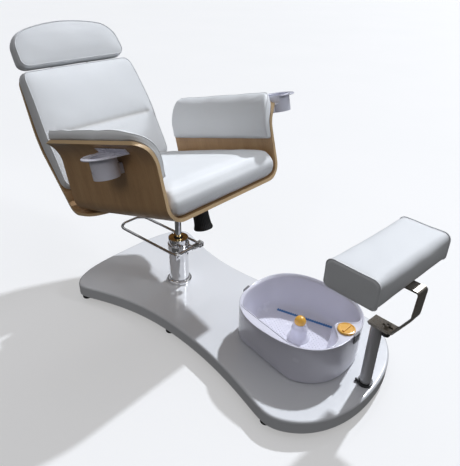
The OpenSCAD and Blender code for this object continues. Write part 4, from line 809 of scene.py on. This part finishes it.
def plump(points, faces, held, most):
    """Blows a cover up as cloth: the held points stay, as seams and backs do, and no point goes further than most."""
    mesh = bpy.data.meshes.new("cover")
    mesh.from_pydata(points.tolist(), [], faces.tolist())
    cover = bpy.data.objects.new("cover", mesh)
    scene.collection.objects.link(cover)
    cover.vertex_groups.new(name="held").add(np.flatnonzero(held).tolist(), 1.0, "REPLACE")
    cloth = cover.modifiers.new("cover", "CLOTH")
    cloth.settings.vertex_group_mass = "held"
    cloth.settings.use_pressure = True
    cloth.settings.uniform_pressure_force = 3.0
    cloth.settings.effector_weights.gravity = 0
    cloth.settings.quality = 4
    cloth.settings.mass = 0.35
    cloth.settings.tension_stiffness = cloth.settings.compression_stiffness = 12
    cloth.settings.shear_stiffness = 8
    cloth.settings.bending_stiffness = 0.8
    cloth.settings.air_damping = 4
    cloth.collision_settings.use_collision = False
    cloth.point_cache.frame_start, cloth.point_cache.frame_end = 1, 20
    for number in range(1, 21):
        scene.frame_set(number)
    swollen = cover.evaluated_get(bpy.context.evaluated_depsgraph_get())
    moved = np.empty(len(points) * 3, np.float32)
    swollen.data.vertices.foreach_get("co", moved)
    step = moved.reshape(-1, 3).astype(float) - points
    size = np.linalg.norm(step, axis=1, keepdims=True)
    scene.frame_set(1)
    bpy.data.objects.remove(cover)
    bpy.data.meshes.remove(mesh)
    return points + step * (most * np.tanh(size / most) / np.maximum(size, 1e-9))


def blown_up(base, faces, held, slack, most, rounds):
    """A cushion's cover: set in by its slack where it is free, blown up, and evened out over some rounds.
    The quads are first turned outwards, so that they close a volume above 0. Returns points, faces and normals."""
    quads = base[faces]
    if (quads.mean(1) * np.cross(quads[:, 2] - quads[:, 0], quads[:, 3] - quads[:, 1])).sum() < 0:
        faces = faces[:, ::-1]
    shrunk = base - normals_of(base, faces) * np.where(held, 0, slack)[:, None]
    points = smoothed(plump(shrunk, faces, held, most), faces, ~held, rounds)
    return points, faces, normals_of(points, faces)


def upholster(name, points, faces, body, node, seam):
    """Makes the finished cover of a cushion: leather, a per-point attribute of painted shade, with a little dirt,
    along its seams and folds, and one level of subdivision.
    """
    piece = make(name, points, faces, [leather], body, [node], crease=80)
    seam_shade_and_dirt = piece.data.attributes.new("seam", "FLOAT", "POINT")
    seam_shade_and_dirt.data.foreach_set("value", np.asarray(seam, np.float32))
    finer = piece.modifiers.new("finer", "SUBSURF")
    finer.levels = finer.render_levels = 1
    return piece


def cord_along(name, loop, r, body, closed=True, finish=cord_leather, sides=10):
    """Round cord of radius r along points: rings square to its line, carried round without twist."""
    loop = np.asarray(loop, float)
    way = (np.roll(loop, -1, 0) - np.roll(loop, 1, 0)) if closed else np.gradient(loop, axis=0)
    way /= np.linalg.norm(way, axis=1, keepdims=True)
    first = np.cross(way[0], [0.3, 0.5, 0.8])
    across = [first / np.linalg.norm(first)]
    for t in way[1:]:
        v = across[-1] - t * (across[-1] @ t)
        across.append(v / np.linalg.norm(v))
    across = np.array(across)
    if closed:
        v = across[-1] - way[0] * (across[-1] @ way[0])
        v /= np.linalg.norm(v)
        twist = math.atan2(np.cross(across[0], v) @ way[0], across[0] @ v)
        q = -twist * np.linspace(0, 1, len(loop))[:, None]
        across = across * np.cos(q) + np.cross(way, across) * np.sin(q)
    up = np.cross(way, across)
    q = np.linspace(0, 2 * math.pi, sides, endpoint=False)[None, :, None]
    rings = loop[:, None] + r * (np.cos(q) * across[:, None] + np.sin(q) * up[:, None])
    if closed:
        n = len(loop)
        i, j = (g.ravel() for g in np.meshgrid(np.arange(n), np.arange(sides), indexing="ij"))
        k, m = (i + 1) % n, (j + 1) % sides
        faces = np.stack([i * sides + j, k * sides + j, k * sides + m, i * sides + m], 1)
        points = rings.reshape(-1, 3)
    else:
        points, faces = skin_of(rings)
    return make(name, points, faces, [finish], body, crease=60)


seat_front, seat_back, seat_half, seat_high = 0.306, -0.334, 0.284, 0.112


def seat_row(side, front, rear, h, r=0.030):
    """Ring of the seat cushion with its sides, front and rear set back, at height h."""
    low, high = -seat_front + front, -seat_back - rear
    return (seat_half - side, (high - low) / 2, 0.0, (low + high) / 2, r, r, h)


seat_rings = through([
    seat_row(0.051, 0.040, 0.030, 0.0006, 0.020), seat_row(0.030, 0.022, 0.024, 0.005),
    seat_row(0.014, 0.009, 0.014, 0.016), seat_row(0.005, 0.003, 0.006, 0.031),
    seat_row(0.001, 0.000, 0.001, 0.052), seat_row(0.001, 0.003, 0.001, seat_high - 0.030),
    seat_row(0.004, 0.012, 0.002, seat_high - 0.017), seat_row(0.006, 0.022, 0.004, seat_high - 0.0060),
    seat_row(0.013, 0.038, 0.009, seat_high - 0.001, 0.034)], 3)
points, faces, at = block(lines(seat_half, 0.03, 0.016), lines(0.32, 0.03, 0.016), seat_rings)
points[:, 2] += 0.0055 * crowned(at, 8) + 0.0045 * crowned(at, 2.6)
seat_local = np.column_stack([points[:, 0], -points[:, 1], points[:, 2]])
room_points, faces, normal = blown_up(seat_to_room(seat_local), faces, at["level"] < 14, 0.0025, 0.005, 5)
# Pleats: short folds that run up from the lower front corners, deepest at the bottom
corner_q = np.arctan2(np.abs(seat_local[:, 0]) - 0.235, seat_local[:, 1] - 0.255)
near_corner = np.exp(-((np.abs(seat_local[:, 0]) - 0.272) ** 2
                       + (seat_local[:, 1] - 0.290) ** 2) / 0.032 ** 2)
fold = np.sin(corner_q * 15) * near_corner * np.clip(1 - seat_local[:, 2] / 0.085, 0, 1)
room_points += normal * (fold * 0.0016 + ripple(room_points, 0.13, 3) * 0.0005
                         + ripple(room_points * [1, 1, 2], 0.035, 4) * 0.00010)[:, None]
# The lower front corners are darkened through the seam attribute: painted shade in the pleats, with a little dirt.
upholster("seat_cushion_cover", room_points, faces, "seat", "seat_cushion",
          np.clip(near_corner * 0.5, 0, 1) * (seat_local[:, 2] < 0.05))


# ---------------------------------------------------------------- Back cushion
# A foam pad in the same leather is fixed to the back sheet. Its front panel meets the side band
# in a piped seam, and a seam across the lower back parts it into an upper and a lower panel.

pad_low, swell_h = 0.072, 0.328
pad_high = back_high + back_t * math.sin(back_lean) - 0.009 * math.cos(back_lean)
seam_h = 0.287


def back_front_s(h):
    """Front face of the back sheet, forwards along the seat, at height h."""
    return np.where(h > knee_h, knee_s - (h - knee_h) * math.tan(back_lean) + back_t / math.cos(back_lean),
                    knee_s + (knee_h - h) * math.tan(low_lean) + back_t / math.cos(low_lean))


def back_thick(h):
    """Thickness of the pad: fullest a third of the way up, less towards both ends by squares."""
    return np.where(h < swell_h, 0.078 - 0.040 * ((swell_h - h) / (swell_h - pad_low - 0.015)) ** 2,
                    0.078 - 0.021 * ((h - swell_h) / (pad_high - swell_h - 0.012)) ** 2)


def on_back_sheet(x, v, depth, lift):
    """Places a point of the flat pad on the bent sheet: v becomes height, depth a share of the thickness."""
    lean_here = low_lean + (back_lean - low_lean) * np.clip((v - knee_h + 0.06) / 0.12, 0, 1)
    t = 0.0009 + depth * back_thick(v) + lift
    narrow = 1 - 0.018 / 0.290 * np.clip((v - 0.31) / (pad_high - 0.325), 0, 1)
    return np.stack([x * narrow, back_front_s(v) + t * np.cos(lean_here), v + t * np.sin(lean_here)], -1)


v_mid, v_half, pad_wide = (pad_low + pad_high) / 2, (pad_high - pad_low) / 2, 0.290


def pad_row(d, depth, r=0.038):
    return (pad_wide - d, v_half - d, 0.0, v_mid, max(r - d / 2, 0.01), max(r - d / 2, 0.01), depth)


back_rings = through([pad_row(0.012, 0.0), pad_row(0.003, 0.10), pad_row(0.0, 0.28), pad_row(0.0, 0.55),
                      pad_row(0.0015, 0.76), pad_row(0.0045, 0.88)], 3)
back_rings = np.concatenate([back_rings, through([pad_row(0.0075, 0.925), pad_row(0.0125, 0.97),
                                                  pad_row(0.020, 0.995), pad_row(0.032, 1.0)], 2)])
pipe_level = len(back_rings) - 7
v_lines = lines(v_half, 0.03, 0.017)
seam_b = (seam_h - v_mid) / (v_half - 0.032)
near_seam = np.array([-0.022, -0.012, -0.005, 0, 0.005, 0.012, 0.022]) / v_half + seam_b
v_lines = np.sort(np.concatenate([v_lines[np.abs(v_lines - seam_b) > 0.034 / v_half], near_seam]))
points, faces, at = block(lines(pad_wide, 0.03, 0.017), v_lines, back_rings)
across_seam = points[:, 1] - seam_h
on_front = at["top"] & (at["k"] < 0.995)
fade = np.clip((pad_wide - 0.018 - np.abs(points[:, 0])) / 0.03, 0, 1)
groove = np.exp(-(np.abs(across_seam) / 0.0075) ** 1.4) * on_front * fade
roll_over = np.exp(-((across_seam - 0.018) / 0.016) ** 2) * on_front * fade
back_local = on_back_sheet(points[:, 0], points[:, 1], points[:, 2],
                           0.0095 * crowned(at, 3) - 0.0085 * groove + 0.0018 * roll_over)
seam_row = (np.abs(across_seam) < 0.001) & on_front
held = (at["level"] <= 6) | (at["level"] == pipe_level) | seam_row
room_points, faces, normal = blown_up(seat_to_room(back_local), faces, held, 0.0022, 0.0048, 2)
tuck = at["level"] == pipe_level
pull = np.exp(-(np.abs(across_seam) / 0.028) ** 2) * on_front * np.cos(points[:, 0] * 175) * 0.0005
room_points += normal * (ripple(room_points, 0.15, 11) * 0.0006 + ripple(room_points, 0.04, 12) * 0.00010
                         + pull - tuck * 0.0010)[:, None]
# Painted shade, with a little dirt, darkens the groove of the cross seam and the tuck under the piping.
seam_shade_and_dirt = np.clip(groove * 1.1 + tuck * 0.3, 0, 1)
upholster("back_cushion_cover", room_points, faces, "seat", "back_cushion", seam_shade_and_dirt)
pipe = room_points[at["rows"][pipe_level]] + normal[at["rows"][pipe_level]] * 0.0010
cord_along("back_piping", pipe, 0.0021, "seat")


# ---------------------------------------------------------------- Arm pads
# A thick pad of foam and leather is glued over each arm. It starts halfway up the inner face,
# follows the curl and ends in a full roll over the edge. A piped seam runs round both ends and
# the outer side; the pad on the sitter's right is thinner towards the front.

pad_base_r = curl_r + ply + 0.0004
pad_start, pad_rear_s, pad_front_s = 0.156, -0.264, 0.291
pad_flat = curl_z - pad_start
arm_slack = curl_z * math.sin(arm_fall) + 0.002


def arm_edge(s):
    """Height of the arm's edge at s, in the arm's own frame, with its round corners."""
    f, r = s - (shell_front - arm_slack - arm_front_r), (shell_rear - arm_slack + arm_rear_r) - s
    behind = np.where(r > 0, arm_top - arm_rear_r + np.sqrt(np.maximum(0, arm_rear_r ** 2 - r * r)), arm_top)
    return np.where(f > 0, arm_top - arm_front_r + np.sqrt(np.maximum(0, arm_front_r ** 2 - f * f)), behind)


def arm_to_room(points, side):
    """From an arm's frame, which slopes down to the front, to the room; side is 1 on the sitter's left."""
    x, s, h = np.moveaxis(points, -1, 0)
    y, z = -s * math.cos(arm_fall) - h * math.sin(arm_fall), -s * math.sin(arm_fall) + h * math.cos(arm_fall)
    return seat_to_room(np.stack([x * side, -y, z], -1))


pad_run = pad_flat + pad_base_r * math.asin((arm_top - 0.001 - curl_z) / pad_base_r)


def on_arm_curl(t, s, depth, thin=0.0):
    """Wraps the flat pad round the arm: t runs up the inner face and round the curl, and goes straight on past
    the edge; depth is a share of the thickness, which grows towards the top and is less by thin at the front."""
    end = np.arcsin(np.clip((arm_edge(s) - 0.001 - curl_z) / pad_base_r, 0, 1))
    run = pad_flat + pad_base_r * end
    u = np.clip(t / pad_run, 0, 1)
    go = np.where(t < pad_run, u * run, run + t - pad_run)
    q = np.clip((go - pad_flat) / pad_base_r, 0, end)
    over = np.maximum(go - run, 0)
    front = np.clip((s - 0.140) / 0.150, 0, 1)
    thick = (0.030 + 0.015 * np.clip((u - 0.3) / 0.6, 0, 1)) * depth
    thick = thick * (1 - thin * front ** 2 * (3 - 2 * front))
    x = arm_x + curl_r - (pad_base_r + thick) * np.cos(q) + over * np.sin(q)
    h = np.where(go < pad_flat, pad_start + go, curl_z + (pad_base_r + thick) * np.sin(q) + over * np.cos(q))
    return np.stack([x, s, h], -1)


def arm_row(low, tip, ends, depth, r=0.012):
    """Ring of an arm pad: its lower edge, its tip and its two ends set back."""
    return ((pad_run - low - tip) / 2, (pad_front_s - pad_rear_s) / 2 - ends, (pad_run + low - tip) / 2,
            (pad_front_s + pad_rear_s) / 2, r, r, depth)


pad_rings = through([
    arm_row(0.004, 0.006, 0.004, 0.0), arm_row(0.0, -0.006, 0.0005, 0.12), arm_row(0.0, -0.0125, 0.0, 0.32),
    arm_row(0.001, -0.0145, 0.0, 0.52), arm_row(0.004, -0.011, 0.0015, 0.72), arm_row(0.010, -0.003, 0.006, 0.90),
    arm_row(0.019, 0.009, 0.014, 0.985), arm_row(0.030, 0.022, 0.026, 1.0)], 3)
for side, name, thin in ((1, "left", 0.0), (-1, "right", 0.36)):
    points, faces, at = block(lines(pad_run / 2, 0.022, 0.010), lines(0.2775, 0.022, 0.0135), pad_rings)
    seam_level = 12
    on_seam = (at["level"] == seam_level) & ((np.abs(at["b"]) > 0.999) | (at["a"] > 0.999))
    base = arm_to_room(on_arm_curl(points[:, 0], points[:, 1], points[:, 2], thin), side)
    room_points, faces, normal = blown_up(base, faces, (at["level"] <= 3) | on_seam, 0.0016, 0.0032, 2)
    wave = np.cos(points[:, 1] * 34 + 0.6) + 0.6 * np.cos(points[:, 1] * 71 + 2.0 * side)
    sag = wave * np.exp(-((points[:, 0] - pad_run) / 0.020) ** 2)
    room_points += normal * (ripple(room_points, 0.10, 20 + side) * 0.0006
                             + ripple(room_points, 0.035, 30) * 0.0001
                             + sag * 0.0010 - 0.0015 * on_seam)[:, None]
    # The piped seam is darkened: painted shade with a little dirt.
    upholster("arm_pad_cover_" + name, room_points, faces, "seat", "arm_pad_" + name, on_seam * 0.4)
    row = at["rows"][seam_level]
    line = row[:np.flatnonzero(on_seam[row])[-1] + 1]
    line = line[on_seam[line]]
    pipe = room_points[line] + normal[line] * 0.0007
    pipe[[0, -1]] -= normal[line[[0, -1]]] * 0.0022
    cord_along("arm_piping_" + name, pipe, 0.0016, "seat", closed=False)


# ---------------------------------------------------------------- Headrest
# The headrest is an arched plywood plate with a leather pad, like the back's. Two chromed posts
# slide in plastic guides behind the back, so that it can be pulled up.

dressed("headrest_guides", black_plastic, 0.0008)
dressed("headrest_posts", chrome, 0.0006)

head_half, head_high, head_arch, head_low = 0.262, 0.186, 0.044, -0.002


def back_to_room(points):
    """From the upper back's frame (across, behind its rear face, up from its top edge) to the room."""
    x, y, z = np.moveaxis(points, -1, 0)
    c, s = math.cos(back_lean), math.sin(back_lean)
    return seat_to_room(np.stack([x, back_top_s - (y * c + z * s), back_high + z * c - y * s], -1))


def arched(x, v):
    """Drops the headrest's outline towards its sides, most along its upper edge, as a parabola."""
    return v - head_arch * (v - head_low) / head_high * (x / head_half) ** 2


def head_place(points):
    """Places a point of the flat pad (across, up, share of the thickness) on the headrest."""
    x, v, depth = points.T
    u = (v - head_low) / head_high
    front = back_t + 0.0004 + depth * (0.060 - 0.012 * u)
    return back_to_room(np.stack([x * (1 - 0.04 * u), -front, arched(x, v)], 1))


def head_row(d, depth, high_r=0.072, low_r=0.040):
    return (head_half - d, head_high / 2 - d, 0.0, head_low + head_high / 2, high_r - d / 2, low_r - d / 2, depth)


plate_in_x, plate_in_v, plate_r_high, plate_r_low = 0.014, 0.009, 0.072, 0.040
plate_flat, plate_cells, plate_at = block(
    lines(head_half, 0.05, 0.03), lines(head_high / 2, 0.05, 0.03),
    [(head_half - plate_in_x, head_high / 2 - plate_in_v, 0, head_low + head_high / 2, plate_r_high, plate_r_low, d)
     for d in (0, 1)])
plate_x, plate_v, plate_d = plate_flat.T
plate_points = back_to_room(np.stack([plate_x * 0.97, -plate_d * back_t, arched(plate_x, plate_v)], 1))
plate_uv = np.column_stack([plate_v + 2.1, plate_x])
plate_rim = np.ptp(plate_at["level"][plate_cells], axis=1) > 0
rim_place = np.arctan2(plate_v - 0.09, plate_x) * 0.25
plate_loops = np.where(plate_rim[:, None, None], np.stack([rim_place, plate_d * back_t], 1)[plate_cells],
                       plate_uv[plate_cells]).reshape(-1, 2)
head_ply = make("headrest_sheet", plate_points, plate_cells, [veneer, ply_edge], "headrest", ["headrest_plate"],
                uv=plate_loops, kinds=plate_rim.astype(int))
round_edges(head_ply, 0.0012, 50)

head_rings = through([head_row(0.010, 0.0), head_row(0.003, 0.10), head_row(0.0, 0.30), head_row(0.0, 0.60),
                      head_row(0.002, 0.78), head_row(0.006, 0.89)], 3)
head_rings = np.concatenate([head_rings, through([head_row(0.009, 0.93), head_row(0.014, 0.975),
                                                  head_row(0.022, 0.998), head_row(0.034, 1.0)], 2)])
pipe_level = len(head_rings) - 7
points, faces, at = block(lines(head_half, 0.055, 0.015), lines(head_high / 2, 0.045, 0.012), head_rings)
points[:, 2] += 0.10 * crowned(at, 3)
tuck = at["level"] == pipe_level
room_points, faces, normal = blown_up(head_place(points), faces, (at["level"] <= 6) | tuck, 0.002, 0.0045, 2)
room_points += normal * (ripple(room_points, 0.14, 41) * 0.0004 + ripple(room_points, 0.035, 42) * 0.00008
                         - tuck * 0.0009)[:, None]
# The tuck under the piping is darkened: painted shade with a little dirt.
upholster("headrest_cover", room_points, faces, "headrest", "headrest_cushion", tuck * 0.25)
pipe = room_points[at["rows"][pipe_level]] + normal[at["rows"][pipe_level]] * 0.0010
cord_along("headrest_piping", pipe, 0.0021, "headrest")


# ---------------------------------------------------------------- Cup holders
# A moulded white cup with a rolled lip and a flat flange hangs outside each arm. Two screws
# inside the cup hold its lug to the plywood.

cup_plastic = Finish("cup_plastic", coat_weight=0.35, coat_roughness=0.10)
cup_cloud = cup_plastic.noise(cup_plastic.place(), 14, 3)
cup_plastic.wear(colour=cup_plastic.mixed(cup_cloud, (0.66, 0.665, 0.76), (0.74, 0.745, 0.83)),
                 roughness=cup_plastic.spread(cup_cloud, 0.20, 0.34),
                 height=cup_plastic.noise(cup_plastic.place(), 300, 2), depth=0.00006)
dressed("cup_holder_left", cup_plastic, 0.0012, 30)
dressed("cup_holder_right", cup_plastic, 0.0012, 30)
dressed("cup_screws", zinc, 0.0003)

cup_r, flange_r = 0.043, 0.064
for side, name, out, along, high, reach in ((-1, "right", 0.064, 0.101, 0.248, 165),
                                            (1, "left", 0.088, 0.268, 0.311, 128)):
    q = np.radians(np.linspace(-reach, reach, 90))
    mouth = np.stack([arm_x + out + cup_r * np.cos(q), along + cup_r * np.sin(q), np.full(90, high)], 1)
    cord_along("cup_mouth_bead_" + name, arm_to_room(mouth, side), 0.0017, "seat", False, cup_plastic)
    q = np.radians(np.linspace(-98, 98, 90))
    lip_r = flange_r - 0.001
    lip = np.stack([arm_x + out + lip_r * np.cos(q), along - 0.006 + 1.15 * lip_r * np.sin(q),
                    np.full(90, high - 0.0012)], 1)
    cord_along("cup_lip_bead_" + name, arm_to_room(lip, side), 0.0026, "seat", False, cup_plastic)


# ---------------------------------------------------------------- Foot basin
# The foot basin is a double-walled tub of gloss white plastic with a lilac tint and a beaded
# rim. It has a nubbed floor, a blue bubble strip, a massage post with a ball, and a round cap.

tub_plastic = Finish("tub_plastic", coat_weight=0.3, coat_roughness=0.12)
tub_cloud = tub_plastic.noise(tub_plastic.place(), 7, 3)
tub_plastic.wear(colour=tub_plastic.mixed(tub_cloud, (0.70, 0.695, 0.79), (0.76, 0.755, 0.84)),
                 roughness=tub_plastic.spread(tub_cloud, 0.18, 0.32),
                 height=tub_plastic.noise(tub_plastic.place(), 9, 2), depth=0.0008)
dressed("tub_shell", tub_plastic, 0.0, 40)
dressed("tub_basin", tub_plastic, 0.0, 40)

tub_q, tub_top, tub_floor = math.radians(-2.8), 0.235, 0.091


def tub_to_room(points):
    """From the basin's frame, turned about the middle of its oval, to the room."""
    x, y, z = np.moveaxis(np.asarray(points, float), -1, 0)
    return np.stack([x * math.cos(tub_q) - y * math.sin(tub_q) + 0.019,
                     x * math.sin(tub_q) + y * math.cos(tub_q) - 0.624, z], -1)


def lesser(a, b, k):
    """The smaller of two values, with the change from one to the other rounded over about k."""
    return np.minimum(a, b) - k * np.log1p(np.exp(-abs(a - b) / k))


def basin_side(y):
    """Distance of the basin's straight side left of the middle, at y."""
    return 0.1655 - 0.135 * y


def boss_front(x):
    """Distance of the basin's front edge before the middle, drawn in round the boss with the cap."""
    return 0.140 + 0.060 * (1 - np.exp(-((x - 0.019) / 0.046) ** 2))


q = np.linspace(0, 2 * math.pi, 260, endpoint=False)
oval_x, oval_y = (np.sign(v) * abs(v) ** (2 / 2.41) for v in (np.cos(q), np.sin(q)))
rim = np.stack([0.1978 * oval_x, 0.2208 * oval_y, np.full(len(q), tub_top - 0.0008)], 1)
cord_along("tub_rim_bead", tub_to_room(rim), 0.0027, "tub", True, tub_plastic)
lip_x, lip_y = 0.1945 * oval_x, 0.2175 * oval_y
lip_x = -lesser(-lip_x, basin_side(lip_y) + 0.0015, 0.005)
lip_y = -lesser(-lip_y, boss_front(lip_x) + 0.0015, 0.006)
lip = np.stack([lip_x, lip_y, np.full(len(q), tub_top - 0.0030)], 1)
cord_along("basin_lip_bead", tub_to_room(lip), 0.0022, "tub", True, tub_plastic)

# Nubs: low domes in staggered rows, clear of the walls, the post and the bubble strip
nub_x, nub_y = np.meshgrid(np.arange(-0.150, 0.151, 0.0125), np.arange(-0.180, 0.181, 0.0108))
nub_x = nub_x + 0.00625 * (np.arange(len(nub_x)) % 2)[:, None]
from_strip = abs((nub_x - 0.080) * -0.960 - (nub_y - 0.162) * 0.279)
clear = (abs(nub_x / 0.147) ** 2.41 + abs(nub_y / 0.170) ** 2.41 < 1) & (-nub_x < basin_side(nub_y) - 0.046)
clear &= (-nub_y < boss_front(nub_x) - 0.046) & (from_strip > 0.011)
clear &= np.hypot(nub_x - 0.008, nub_y) > 0.050
nub_q = np.linspace(0, 2 * math.pi, 6, endpoint=False)
nub_rings = np.array([[(r * math.cos(q), r * math.sin(q), tub_floor + z) for q in nub_q]
                      for r, z in ((0.0027, -0.0004), (0.0024, 0.0007), (0.0013, 0.0015))])
nub, nub_faces = skin_of(nub_rings)
places = np.stack([nub_x[clear], nub_y[clear], np.zeros(clear.sum())], 1)
nubs = (places[:, None] + nub[None]).reshape(-1, 3)
first = (np.arange(len(places)) * len(nub))[:, None, None]
nub_quads = (np.array(nub_faces[:-2])[None] + first).reshape(-1, 4).tolist()
nub_ends = (np.array(nub_faces[-2:])[None] + first).reshape(-1, 6).tolist()
make("basin_nubs", tub_to_room(nubs), nub_quads + nub_ends, [tub_plastic], "tub", crease=60)
dressed("massage_post", tub_plastic, 0.0010, 40)
dressed("tub_feet", rubber, 0.0010)

grey_plastic = Finish("grey_plastic", roughness=0.5)
grey_grain = grey_plastic.noise(grey_plastic.place(), 700, 3)
grey_plastic.wear(colour=grey_plastic.mixed(grey_grain, (0.14, 0.14, 0.15), (0.19, 0.19, 0.20)),
                  height=grey_grain, depth=0.0001)
dressed("tub_latches", grey_plastic, 0.0010)

yellow = Finish("yellow", coat_weight=0.4, coat_roughness=0.08)
yellow_cloud = yellow.noise(yellow.place(), 40, 3)
yellow.wear(colour=yellow.mixed(yellow_cloud, (0.80, 0.40, 0.045), (0.90, 0.50, 0.07)),
            roughness=yellow.spread(yellow_cloud, 0.18, 0.34),
            height=yellow.noise(yellow.place(), 120, 2), depth=0.0001)
dressed("tub_cap", yellow, 0.0008, 30)
dressed("massage_ball", yellow, 0.0, 60)

blue = Finish("blue", roughness=0.4)
blue_cloud = blue.noise(blue.place(), 90, 3)
blue.wear(colour=blue.mixed(blue_cloud, (0.045, 0.17, 0.42), (0.075, 0.24, 0.54)),
          roughness=blue.spread(blue_cloud, 0.3, 0.5), height=blue_cloud, depth=0.0002)
dressed("bubble_strip", blue, 0.0006)


# ---------------------------------------------------------------- Footrest
# A grey steel post stands in a black collar in the platform, held by a set screw. On its head a
# bent flat bar of satin nickel slides and is clamped by a knob; it carries the padded rest.

post_paint = Finish("post_paint", metallic=0.15)
post_grain = post_paint.noise(post_paint.place((1, 1, 0.04)), 900, 3)
post_paint.wear(colour=post_paint.mixed(post_grain, (0.44, 0.44, 0.455), (0.51, 0.51, 0.525)),
                roughness=post_paint.spread(post_grain, 0.34, 0.48), height=post_grain, depth=0.00004)
dressed("post_tube", post_paint, 0.0006)

nickel = Finish("nickel", metallic=1.0)
nickel_brush = nickel.noise(nickel.place((0.06, 1, 1)), 1200, 3)
nickel_smear = nickel.noise(nickel.place(), 25, 3)
nickel.wear(colour=nickel.mixed(nickel_smear, (0.34, 0.31, 0.27), (0.46, 0.43, 0.385)),
            roughness=nickel.spread(nickel_brush, 0.20, 0.38), height=nickel_brush, depth=0.00004)
for node in ("post_head", "clamp_nut", "footrest_bracket"):
    dressed(node, nickel, 0.0010)
for node in ("post_collar", "set_screw", "clamp_knob"):
    dressed(node, black_plastic, 0.0008)
dressed("footrest_screws", zinc, 0.0004)
coat("footrest_board", raw_board)

rest_turn, rest_y, rest_wide = math.radians(-6), 0.009, 0.088
post_axis_y = -0.920


def post_to_room(points):
    """From the footrest's frame, turned about the post, to the room."""
    x, y, z = np.moveaxis(points, -1, 0)
    c, s = math.cos(rest_turn), math.sin(rest_turn)
    return np.stack([x * c - y * s, x * s + y * c + post_axis_y, z], -1)


rest_floor = float(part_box("footrest_cushion")[0].z)
rest_top = float(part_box("footrest_cushion")[1].z) - 0.003
rest_half_h = (rest_top - rest_floor) / 2


def rest_row(d, x):
    """Section of the footrest pad at x: broad rounds along its upper edges, smaller ones below."""
    return (rest_wide - d, rest_half_h - d, rest_y, rest_floor + rest_half_h, 0.024, 0.017, x)


ends = [(0.0055, 0.199), (0.0022, 0.1982), (0.0004, 0.1955), (0.0, 0.1925)]
rest_table = [rest_row(d, -x) for d, x in ends] + [rest_row(0.0008, -0.1885), rest_row(0.0, -0.184)]
rest_table += [rest_row(0.0, x) for x in np.linspace(-0.172, 0.172, 23)]
rest_table += [rest_row(0.0, 0.184), rest_row(0.0008, 0.1885)] + [rest_row(d, x) for d, x in reversed(ends)]
points, faces, at = block(lines(rest_wide, 0.024, 0.013), lines(rest_half_h, 0.024, 0.012),
                          np.array(rest_table))
y, z, x = points.T
flat_end = np.isin(at["level"], (0, at["level"].max()))
x = x + np.where(flat_end, np.sign(x) * 0.0016 * (1 - at["k"] ** 2), 0)
base = post_to_room(np.stack([x, y, z], 1))
top_level = at["level"].max()
seams = np.isin(at["level"], (2, 4, top_level - 2, top_level - 4))
held = seams | (z < rest_floor + 0.003) | flat_end
room_points, faces, normal = blown_up(base, faces, held, 0.0015, 0.0035, 2)
room_points += normal * (ripple(room_points, 0.09, 51) * 0.0006 * (z > rest_floor + 0.004)
                         - seams * 0.0010)[:, None]
# The seams near both ends are darkened: painted shade with a little dirt.
upholster("footrest_cover", room_points, faces, "footrest", "footrest_cushion", seams * 0.35)
for level, name in ((2, "right"), (top_level - 2, "left")):
    row = at["rows"][level]
    cord_along("footrest_piping_" + name, room_points[row] + normal[row] * 0.0010, 0.0019, "footrest")
